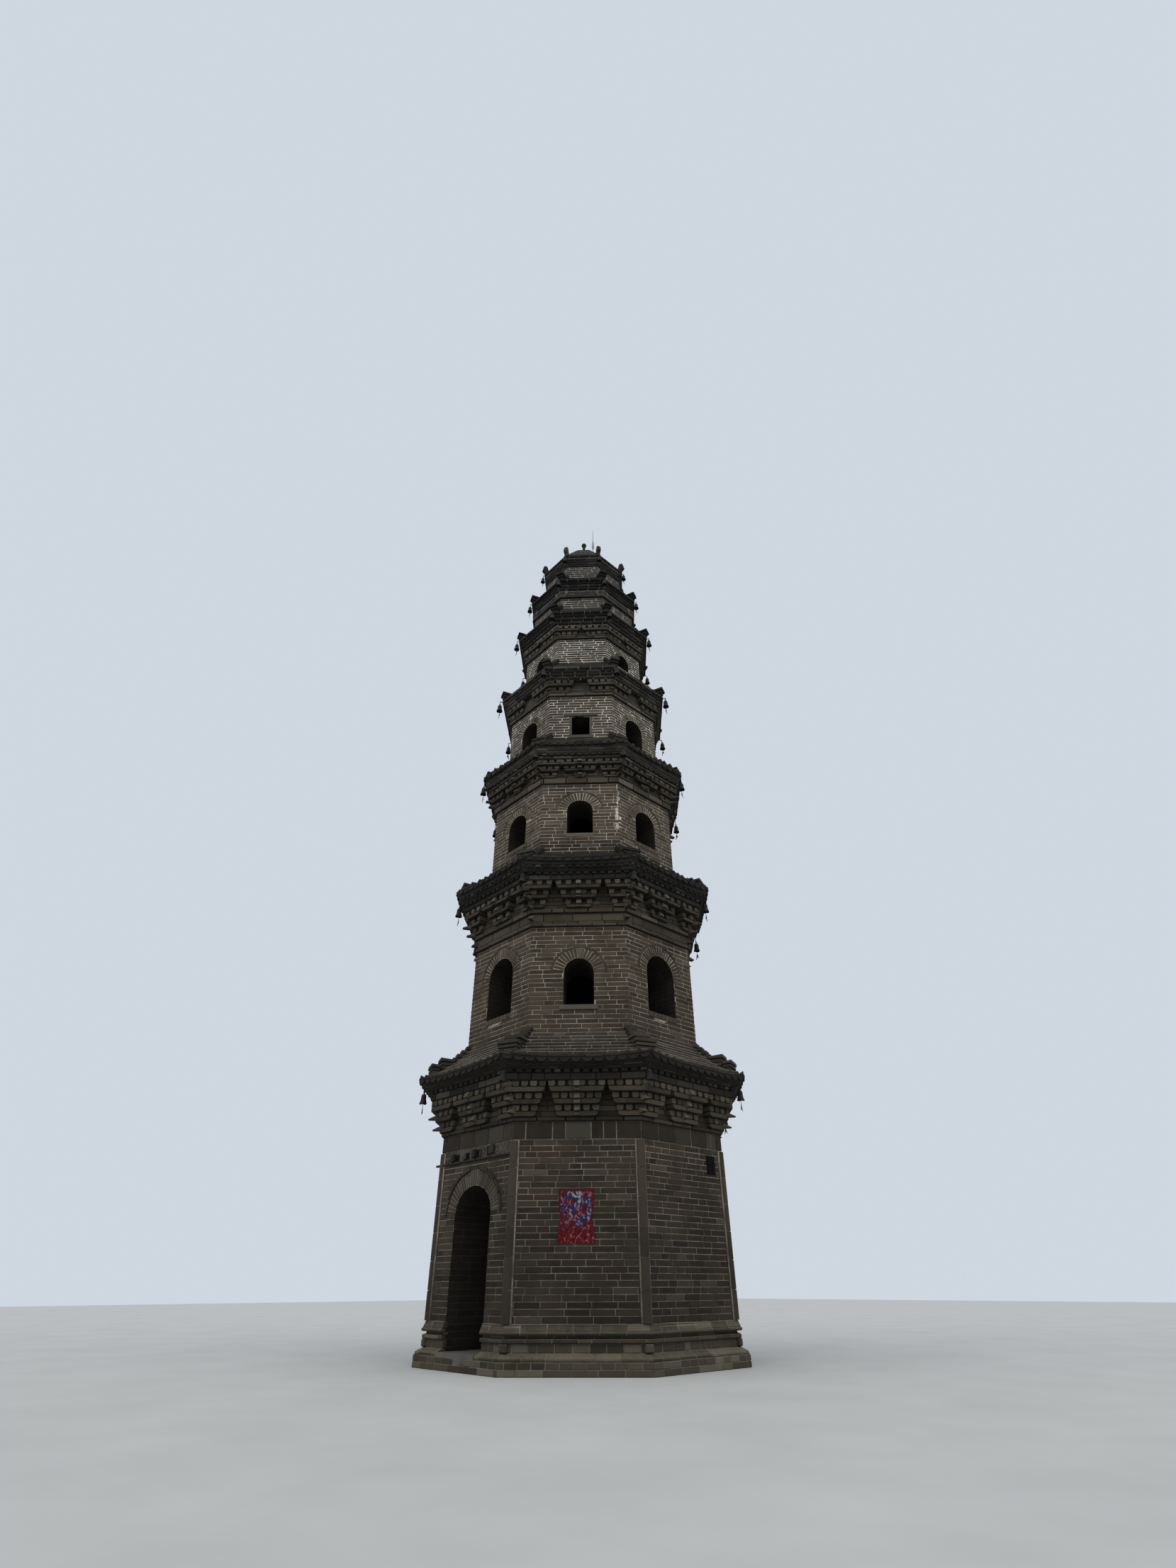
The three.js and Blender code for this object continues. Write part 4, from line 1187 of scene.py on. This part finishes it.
def lay_drips(mesh, azimuth, storey):
    """Scalloped tiles that hang from the edge, and round cover tiles that lie over their joints."""
    edge, top = storey.tip * TO_FACE, storey.edge_top
    deep = top - storey.edge_low + 0.004
    count = round(storey.half / DRIP_PITCH) + 1
    for place in range(-count, count + 1):
        scallop = bow(place * DRIP_PITCH, top - 0.028, DRIP_PITCH * 0.50, -deep * 0.74, 7)
        push_out(mesh, scallop[::-1], edge - 0.034, edge + 0.008 + dice.uniform(-0.004, 0.004),
                 (dice.uniform(0.0, 0.4 if storey.number == 1 else 1.0), 0.1, 0.1))
    bmesh.ops.recalc_face_normals(mesh, faces=mesh.faces[:])
    fronts = [face for face in mesh.faces if len(face.verts) == 8 and face.normal.y < -0.9]
    bmesh.ops.inset_individual(mesh, faces=fronts, thickness=0.012, depth=-0.007)
    for place in range(-count, count + 1):
        cover = bow((place + 0.5) * DRIP_PITCH, top - 0.012, COVER_RADIUS, COVER_RADIUS, 6)
        push_out(mesh, cover, edge - 0.22, edge + dice.uniform(-0.01, 0.004), (dice.uniform(0.3, 1.0), 0.1, 0.1))
    lift_roof(mesh, storey)


for storey in EAVES:
    number = storey.number
    dice.seed(120 + number)
    finished(f"eave_body_{number}", all_faces(lay_body, storey, corbel_steps(storey) + [storey.edge], wear=0.0),
             soot_and_shade_mortar if storey.is_low else lime_mortar, stands_for=(f"roof_{number}",))
    finished(f"slope_body_{number}", all_faces(lay_body, storey, slope_steps(storey), wear=0.0),
             lime_mortar if number == 1 else soot_and_shade_mortar)
    finished(f"eave_courses_{number}", all_faces(lay_eave_courses, storey, wear=0.004), eave_brick)
    if storey.is_low:
        finished(f"soot_and_shade_course_{number}", all_faces(lay_soot_and_shade_course, storey, wear=0.004), soot_and_shade_brick)
        finished(f"drip_tiles_{number}", all_faces(lay_drips, storey, wear=0.0), eave_brick)
    finished(f"roof_courses_{number}", all_faces(lay_roof_courses, storey, wear=0.006), slope_brick)
print("six eaves bring it to", sum(piece_sizes.values()), "triangles")

# %% [markdown]
# ## Ridge blocks
# A corner of a short roof is closed by ridge blocks. On the first three roofs these are low stepped lumps of two or
# three courses with a rounded top brick, and on the next three a stack that grows wider upward and flares outward.
# A ridge entry is a block's inner and outer corner radius and its top. A hip, the bricks that step up from the
# blocks to the wall, has its corner radius and the heights at which it starts and has reached the wall.

# %% Lumps and flared stacks on the corners
RIDGES = {1: [(2.58, 2.85, 4.470), (2.84, 3.01, 4.345)], 2: [(2.42, 2.60, 8.120), (2.59, 2.77, 8.060)],
          3: [(2.18, 2.32, 11.240), (2.31, 2.48, 11.080)], 4: [(1.96, 2.25, 13.700)],
          5: [(1.68, 1.94, 16.000)], 6: [(1.38, 1.63, 17.670)]}
RIDGE_HALF_WIDTHS = {1: 0.180, 2: 0.180, 3: 0.135}
RIDGE_COURSE = 0.072
HIPS = {1: (2.60, 4.500, 4.740), 2: (2.42, 8.190, 8.420), 3: (2.20, 11.320, 11.560), 4: (1.99, 13.760, 14.250),
        5: (1.72, 16.070, 16.400), 6: (1.40, 17.730, 18.010)}
FLARES = ((0.0, 0.32, 0.075, -0.05), (0.34, 0.62, 0.090, -0.02), (0.64, 1.0, 0.112, 0.02))


def clipped(share):
    return min(max(share, 0.0), 1.0)


def slope_height(storey, radius):
    """The height of the short roof's surface on a corner."""
    share = clipped((radius - storey.slope_end) / storey.slope_run)
    return storey.edge_top + (1 - share ** (1 / SLOPE_CURVE)) * (storey.roof_top - storey.edge_top)


def rounded_block(half, low, high, curve):
    return [(-half, low), (half, low), (half, high - curve), (half - curve * 0.3, high - curve * 0.3),
            (half - curve, high), (curve - half, high), (curve * 0.3 - half, high - curve * 0.3),
            (-half, high - curve)]


def lay_hip(mesh, azimuth, storey):
    end, foot, head = HIPS[storey.number]
    wall = STOREYS[storey.number + 1].radius
    half = 0.095 if storey.is_low else 0.055
    bottoms, step = levels(slope_height(storey, end) - 0.03, head, 0.080)
    for bottom in bottoms:
        share = clipped((bottom + step * 0.5 - foot) / (head - foot))
        reach = end + (wall - end) * share + 0.01
        push_out(mesh, rounded_block(half, bottom, bottom + step - 0.008, 0.012), wall - 0.06,
                 reach + dice.uniform(-0.006, 0.006), brick_marks(0.1, 0.10))


def lay_lump(mesh, storey, inner, outer, top):
    low = slope_height(storey, outer) - 0.02
    courses = max(math.ceil((top - low) / RIDGE_COURSE), 1)
    step = (top - low) / courses
    upper = inner < RIDGES[storey.number][-1][0]
    for course in range(courses):
        bottom = low + step * course
        last = course == courses - 1
        half = RIDGE_HALF_WIDTHS[storey.number] * (1.0 if last else 0.94) * (0.85 if upper else 1.05)
        reach = outer - 0.012 * (courses - 1 - course) + dice.uniform(-0.004, 0.004)
        block = rounded_block(half, bottom, bottom + step - 0.006, step * 0.45 if last else 0.006)
        _, front = push_out(mesh, block, inner, reach, (dice.uniform(0.1, 0.9), 0.1, dice.uniform(0.0, 0.6)))
        for vert in front if last else ():
            vert.co.z += 0.018 if vert.co.z > bottom + step * 0.5 else 0.004


def lay_flared_stack(mesh, storey, inner, outer, top):
    low = storey.edge_top - 0.01
    for share, next_share, half, beyond in FLARES:
        block = rounded_block(half, low + (top - low) * share, low + (top - low) * next_share, 0.012)
        _, front = push_out(mesh, block, inner, outer + beyond, brick_marks(0.1, 0.05))
        for vert in front:
            vert.co.z += 0.02 * next_share


def lay_ridges(mesh, azimuth, storey):
    for ridge in RIDGES[storey.number]:
        (lay_lump if storey.is_low else lay_flared_stack)(mesh, storey, *ridge)


for storey in EAVES:
    number = storey.number
    dice.seed(140 + number)
    finished(f"hips_{number}", all_corners(lay_hip, storey, wear=0.006, backless=False),
             slope_brick if storey.is_low else eave_brick)
    finished(f"ridge_blocks_{number}", all_corners(lay_ridges, storey, wear=0.008, backless=False),
             slope_brick if number == 1 else eave_brick)
print("ridge blocks on six roofs")

# %% [markdown]
# ## Wind bells
# A bell is a closed profile spun once round, its mouth cut into four lobes. An eye on its crown turns on the pin of
# a square hook, and a rod through the bell carries a fish-tail plate for the wind. The eight bells of the first eave
# swing, so each is a piece of its own that rides on its own body. The forty-eight above them are fixed, and one
# piece with their hooks.

# %% One bell, one hook
IRON = (0.5, 0.2, 0.1)
BELL_CORNER = 3.060
PIN_HEIGHT = 3.885
BELL_PROFILE = [(0.004, 0.004), (0.020, 0.003), (0.035, -0.006), (0.042, -0.024), (0.044, -0.040), (0.048, -0.046),
                (0.045, -0.052), (0.047, -0.085), (0.051, -0.115), (0.058, -0.142), (0.067, -0.162),
                (0.060, -0.162), (0.052, -0.140), (0.042, -0.100), (0.037, -0.030), (0.028, -0.012), (0.004, -0.009)]
LOBES_FROM = 0.11
FISH_TAIL = [(0.007, 0.0), (0.020, -0.022), (0.030, -0.050), (0.043, -0.080), (0.055, -0.104), (0.030, -0.088),
             (0.007, -0.062)]


def ring_of(mesh, points, centre, axis, steps):
    """A closed outline in the plane x = 0 spun round an axis."""
    before = set(mesh.verts)
    verts = [mesh.verts.new(point) for point in points]
    edges = [mesh.edges.new(pair) for pair in zip(verts, verts[1:] + verts[:1])]
    bmesh.ops.spin(mesh, geom=verts + edges, cent=centre, axis=axis, dvec=(0, 0, 0), angle=2 * math.pi, steps=steps,
                   use_merge=True)
    made = [vert for vert in mesh.verts if vert not in before]
    mark(mesh, made, IRON)
    return made


def rod(mesh, start, end, radius, sides=6):
    """A round bar between two points."""
    along = Vector(end) - Vector(start)
    place = Matrix.Translation((Vector(start) + Vector(end)) / 2) @ along.to_track_quat("Z", "Y").to_matrix().to_4x4()
    bar(mesh, place, along.length, radius, sides, IRON)


def lay_bell(mesh, corner, eye, size, steps):
    crown = eye - 0.033 * size
    body = ring_of(mesh, [(0, -corner - r * size, crown + z * size) for r, z in BELL_PROFILE], (0, -corner, crown),
                   (0, 0, 1), steps)
    for vert in body:
        depth = (crown - vert.co.z) / size
        if depth > LOBES_FROM:
            turn = math.atan2(vert.co.x, -vert.co.y - corner)
            lobe = 0.5 - 0.5 * math.cos(4 * turn)
            vert.co.z -= 0.014 * size * lobe * (depth - LOBES_FROM) / 0.052 - 0.007 * size
    circle = [(0, -corner + 0.006 * size * math.cos(math.pi * turn / 3),
               eye + size * (0.0145 + 0.006 * math.sin(math.pi * turn / 3))) for turn in range(6)]
    ring_of(mesh, circle, (0, -corner, eye), (1, 0, 0), 14)
    rod(mesh, (0, -corner, eye - 0.018 * size), (0, -corner, crown), 0.009 * size)
    mouth = crown - 0.162 * size
    plate_top = mouth - 0.067 * size
    rod(mesh, (0, -corner, crown - 0.010 * size), (0, -corner, plate_top - 0.020 * size), 0.004 * size)
    bmesh.ops.create_uvsphere(mesh, u_segments=8, v_segments=6, radius=0.018 * size,
                              matrix=Matrix.Translation((0, -corner, mouth + 0.020 * size)))
    outline = [(x * size, plate_top + z * size) for x, z in FISH_TAIL + [(-x, z) for x, z in reversed(FISH_TAIL)]]
    push_out(mesh, outline, corner - 0.004 * size, corner + 0.004 * size, IRON)


def lay_hook(mesh, azimuth, corner, eye, top, size):
    side = 0.018 * size
    rod(mesh, (side, -corner, eye - 0.007 * size), (side, -corner, top), 0.007 * size, 8)
    rod(mesh, (-side, -corner, eye), (side, -corner, eye), 0.006 * size, 8)
    rod(mesh, (-side, -corner, eye), (-side + 0.003 * size, -corner, eye), 0.010 * size, 8)


print("a bell is", round(BELL_PROFILE[0][1] - BELL_PROFILE[10][1], 3), "m tall without its plate")

# %% Hang all fifty-six
for number, azimuth in enumerate(CORNERS, start=1):
    bell = fresh_mesh()
    lay_bell(bell, BELL_CORNER, PIN_HEIGHT, 1.0, 20)
    bmesh.ops.recalc_face_normals(bell, faces=bell.faces[:])
    finished(f"wind_bell_{number}", turned(bell, azimuth), bell_iron, body=f"bell_{number}_body",
             stands_for=(f"bell_{number}",))
finished("bell_hooks", all_corners(lay_hook, BELL_CORNER, PIN_HEIGHT, 4.010, 1.0, wear=0.0, backless=False),
         bell_iron)
UPPER_BELLS = {2: (2.780, 7.565, 1.10), 3: (2.510, 10.700, 1.10), 4: (2.300, 13.325, 1.15), 5: (1.970, 15.635, 1.10),
               6: (1.665, 17.265, 1.05), 7: (1.320, 18.690, 1.00)}


def lay_upper_bells(mesh, azimuth):
    for number, (corner, eye, size) in UPPER_BELLS.items():
        storey = STOREYS[number]
        top = storey.edge_low + storey.lift * 0.5 + 0.02
        lay_bell(mesh, corner, eye, size, 12)
        lay_hook(mesh, azimuth, corner, eye, top, size)
        if corner > storey.tip - 0.05:
            side = 0.018 * size
            rod(mesh, (side, -storey.tip + 0.12, top), (side, -corner - 0.008, top), 0.008 * size, 8)


finished("upper_bells", all_corners(lay_upper_bells, wear=0.0, backless=False), bell_iron)
print("fifty-six bells bring it to", sum(piece_sizes.values()), "triangles")

# %% [markdown]
# ## The last eave and the domed roof
# The seventh eave is four thin courses and a thicker edge. On each of its corners an ornament leans outward.
# The dome is laid in courses that follow its curve, over a plain eight-sided body of the same curve, and ends in a
# ball on a short neck. The rod beside it keeps the solid's mesh and only gets its zinc.

# %% Corbels, dome, ornaments and ball
DOME = [(1.250, 18.860), (1.110, 19.080), (0.925, 19.360), (0.725, 19.660), (0.550, 19.920), (0.390, 20.140),
        (0.230, 20.320), (0.070, 20.440)]
DOME_COURSE = 0.080
TOP_STEPS = corbel_steps(STOREYS[7]) + [STOREYS[7].edge]
ORNAMENT = [(1.105, 18.856), (1.262, 18.856), (1.282, 18.930), (1.338, 18.985), (1.350, 19.050), (1.318, 19.095),
            (1.326, 19.155), (1.296, 19.214), (1.238, 19.228), (1.196, 19.180), (1.165, 19.060), (1.125, 18.950)]
NECK = [(0.0, 20.4405), (0.075, 20.4405), (0.070, 20.470), (0.058, 20.520), (0.048, 20.600), (0.041, 20.735),
        (0.052, 20.762)]
BALL_RADIUS, BALL_HEIGHT = 0.078, 20.830


def dome_radius(z):
    return next(radius + (inner - radius) * (z - low) / (high - low)
                for (radius, low), (inner, high) in zip(DOME, DOME[1:]) if low <= z <= high)


def lay_top(mesh, azimuth):
    for radius, low, high in TOP_STEPS:
        lay_course(mesh, corbel_section(radius * TO_FACE, low, high, 0.001), STOREYS[7].half, **EAVE_COURSE)
    z = DOME[0][1] + 0.004
    while z < DOME[-1][1] - DOME_COURSE:
        low, high = dome_radius(z) * TO_FACE + PROUD, dome_radius(z + DOME_COURSE) * TO_FACE + PROUD
        top = z + DOME_COURSE - 0.006
        section = [(high - 0.04, z + 0.003), (low, z + 0.003), (high + 0.006, top), (high - 0.04, top)]
        lay_course(mesh, section, dome_radius(z) * TO_EDGE, length=0.24)
        z += DOME_COURSE


def lay_ornament(mesh, azimuth):
    sweep_across(mesh, ORNAMENT, -0.052, 0.052, brick_marks(0.0, 0.1))
    sweep_across(mesh, box(1.10, 1.262, 18.856, 18.900), -0.075, 0.075, brick_marks(0.0, 0.1))


dice.seed(160)
finished("top_courses", all_faces(lay_top, wear=0.004), eave_brick)
finished("eave_body_7", all_faces(lay_body, STOREYS[7], TOP_STEPS, wear=0.0), lime_mortar,
         stands_for=("eave_7",))
dome_body = spun([(0.0, DOME[0][1])] + DOME + [(0.0, DOME[-1][1])], SIDES)
turn_into(dome_body, all_corners(lay_ornament, wear=0.014, backless=False), 0)
finished("dome_bedding", dome_body, eave_brick, stands_for=("dome",))
ball = [(BALL_RADIUS * math.sin(math.pi * turn / 12), BALL_HEIGHT - BALL_RADIUS * math.cos(math.pi * turn / 12))
        for turn in range(3, 13)]
finished("ball_finial", spun(NECK + ball, 24), eave_brick, stands_for=("finial",), smooth=True)
coat(rod_zinc, "lightning_rod")
print("the top brings it to", sum(piece_sizes.values()), "triangles")

# %% [markdown]
# ## What time has left on the first storey
# Over the doorway runs a thin course, and above it the wall is rough: patched with grey plaster, with the stubs of
# beams that once carried a porch. The side next to the doorway has a sheet of printed paper pasted on it, and the
# side after that a small dark recess near its corner.

# %% Rough plaster and printed paper
def rough_plaster():
    finish = Finish("rough_plaster", 0.97)
    clouds = finish.noise(6.0, 5.0)
    grain = finish.noise(30.0, 5.0, rough=0.7)
    body = clouds.blend((0.045, 0.042, 0.036), (0.115, 0.108, 0.095))
    finish.feed("Base Color", (grain.between(0.5, 0.7) * 0.5).blend(body, (0.18, 0.172, 0.155)))
    finish.bump(grain + clouds, 0.9, 0.02)
    return finish.material


def printed_paper():
    """Red ground with drifting shapes of blue, rose and white, and a plain red band below."""
    finish = Finish("printed_paper", 1.0)
    sheet = finish.marks()
    across, up, _ = sheet.parts()
    drift, second = (finish.node("ShaderNodeTexNoise", values={
        "Vector": sheet, "Scale": scale, "Detail": 5.0, "Distortion": bent}, output="Fac")
        for scale, bent in ((3.4, 1.6), (5.5, 2.5)))
    body = second.between(0.3, 0.7).blend((0.038, 0.003, 0.005), (0.150, 0.007, 0.010))
    picture = up.between(0.22, 0.28) * (1 - up.between(0.93, 0.97))
    picture = picture * across.between(0.04, 0.08) * (1 - across.between(0.92, 0.96))
    body = (picture * drift.between(0.45, 0.48)).blend(body, (0.010, 0.022, 0.075))
    body = (picture * second.between(0.53, 0.57)).blend(body, (0.20, 0.080, 0.10))
    body = (picture * (drift * 0.5 + second * 0.5).between(0.555, 0.58)).blend(body, (0.25, 0.24, 0.245))
    band = (1 - up.between(0.16, 0.22)) * second.between(0.55, 0.60)
    finish.feed("Base Color", (band * 0.6).blend(body, (0.32, 0.14, 0.13)))
    finish.bump(drift, 0.3, 0.004)
    return finish.material


def sheet_grid(left, right, low, high, across, up, out, wave):
    """A grid on the doorway's face, its marks running from 0 to 1 both ways, pushed out by wave(u, v)."""
    mesh = fresh_mesh()
    for vert in bmesh.ops.create_grid(mesh, x_segments=across, y_segments=up, size=0.5)["verts"]:
        u, v = vert.co.x + 0.5, vert.co.y + 0.5
        mark(mesh, [vert], (u, v, 0.0))
        sideways, outward = wave(u, v)
        vert.co = (left + (right - left) * u + sideways, -(out + outward), low + (high - low) * v)
    bmesh.ops.recalc_face_normals(mesh, faces=mesh.faces[:])
    if sum(face.normal.y for face in mesh.faces) > 0:
        bmesh.ops.reverse_faces(mesh, faces=mesh.faces[:])
    return mesh


def paper_wave(u, v):
    """Torn in at its waist, and lifting off the wall towards its sides."""
    edge = abs(2 * u - 1) ** 6
    torn = 0.034 * math.exp(-((v - 0.47) / 0.15) ** 2)
    sideways = (torn if u < 0.5 else -torn) * edge
    return sideways, 0.002 + 0.003 * math.sin(7 * u) ** 2 + 0.022 * edge * max(math.sin(6.5 * v + 1.0), 0.0)


def plaster_wave(u, v):
    return 0.0, dice.uniform(-0.006, 0.012)


dice.seed(180)
FLAT_1 = STOREYS[1].flat
paper = turned(sheet_grid(-0.275, 0.255, 1.525, 2.215, 16, 20, FLAT_1 + 0.009, paper_wave), 45)
finished("pasted_sheet", paper, printed_paper())
patch = sheet_grid(-0.80, 0.86, 2.735, 2.904, 60, 8, FLAT_1 + PROUD, plaster_wave)
finished("plaster_patch", patch, rough_plaster())
print("sheet and patch take", piece_sizes["pasted_sheet"] + piece_sizes["plaster_patch"], "triangles")

# %% Stubs, hollows and a run of lime
STUBS = ((-0.62, 0.10, 2.735, 2.850, 0.07), (-0.30, 0.08, 2.740, 2.845, 0.04), (-0.02, 0.09, 2.745, 2.870, 0.07),
         (0.13, 0.07, 2.750, 2.860, 0.03), (0.45, 0.13, 2.760, 2.895, 0.06))
HOLLOWS = {0: [(-0.52, 0.09, 2.74, 2.84), (-0.22, 0.08, 2.745, 2.84), (0.06, 0.06, 2.75, 2.86),
               (0.35, 0.08, 2.755, 2.88)], 90: [(0.69, 0.20, 2.53, 2.80)]}


def lay_scars(mesh, azimuth):
    lay_course(mesh, box(FLAT_1 - 0.01, FLAT_1 + 0.040, 2.702, 2.732), 0.92, length=0.40)
    for x, wide, low, high, out in STUBS:
        push_out(mesh, [(x - wide / 2, low), (x + wide / 2, low + 0.01), (x + wide * 0.45, high),
                        (x - wide * 0.4, high - 0.015)], FLAT_1 - 0.01, FLAT_1 + out, brick_marks(0.6, 0.3))


def lay_hollows(mesh, azimuth):
    """Hollows, shown as black brick ends: their black is the painted shade inside them."""
    for x, wide, low, high in HOLLOWS[azimuth]:
        push_out(mesh, box(x - wide / 2, x + wide / 2, low, high), FLAT_1 - 0.01, FLAT_1 + 0.019, (0.0, 0.0, 0.0))


def lay_lime_run(mesh, azimuth):
    """Lime washed down beside one corner of storey three."""
    out, corner = STOREYS[3].flat, STOREYS[3].radius * TO_EDGE
    for side in (-1, 1):
        z = 8.85
        while z < 9.95:
            tall = dice.uniform(0.03, 0.10)
            wide = dice.uniform(0.010, 0.050) + (0.04 if z < 9.35 else 0.0)
            if azimuth == (45 if side > 0 else 90) and dice.random() < 0.75:
                sweep_across(mesh, box(out - 0.02, out + PROUD + 0.004, z, min(z + tall, 9.97)),
                             *sorted((side * corner, side * (corner - wide))), (0.5, 0.5, 0.5))
            z += tall


finished("door_scars", all_faces(lay_scars, wear=0.006, faces=(0,), cut=False), string_brick)
finished("dark_hollows", all_faces(lay_hollows, wear=0.004, faces=HOLLOWS, cut=False),
         weathered_metal("black_hollow", (0.004, 0.004, 0.004), (0.008, 0.008, 0.008), (0.01, 0.008, 0.006), 0.2,
                         0.9))
dice.seed(190)
finished("lime_run", all_faces(lay_lime_run, wear=0.006, faces=(45, 90), cut=False), lime_mortar)
print("scars, sheet and hollows; in all", sum(piece_sizes.values()), "triangles")

# %% Lay the floor and count the triangles
floor_data = bmesh.new()
bmesh.ops.create_grid(floor_data, x_segments=1, y_segments=1, size=60.0)
bmesh.ops.translate(floor_data, vec=(0, 0, -0.002), verts=floor_data.verts[:])
floor_mesh = bpy.data.meshes.new("pale_floor")
floor_data.to_mesh(floor_mesh)
floor_data.free()
pale_floor = add_object("pale_floor", floor_mesh)
floor_finish = Finish("pale_floor", 0.9)
floor_finish.feed("Base Color", floor_finish.noise(0.7).blend((0.42, 0.42, 0.41), (0.53, 0.53, 0.52)))
floor_mesh.materials.append(floor_finish.material)
print("triangles of the laid pieces", sum(piece_sizes.values()), "in", len(piece_sizes), "pieces")
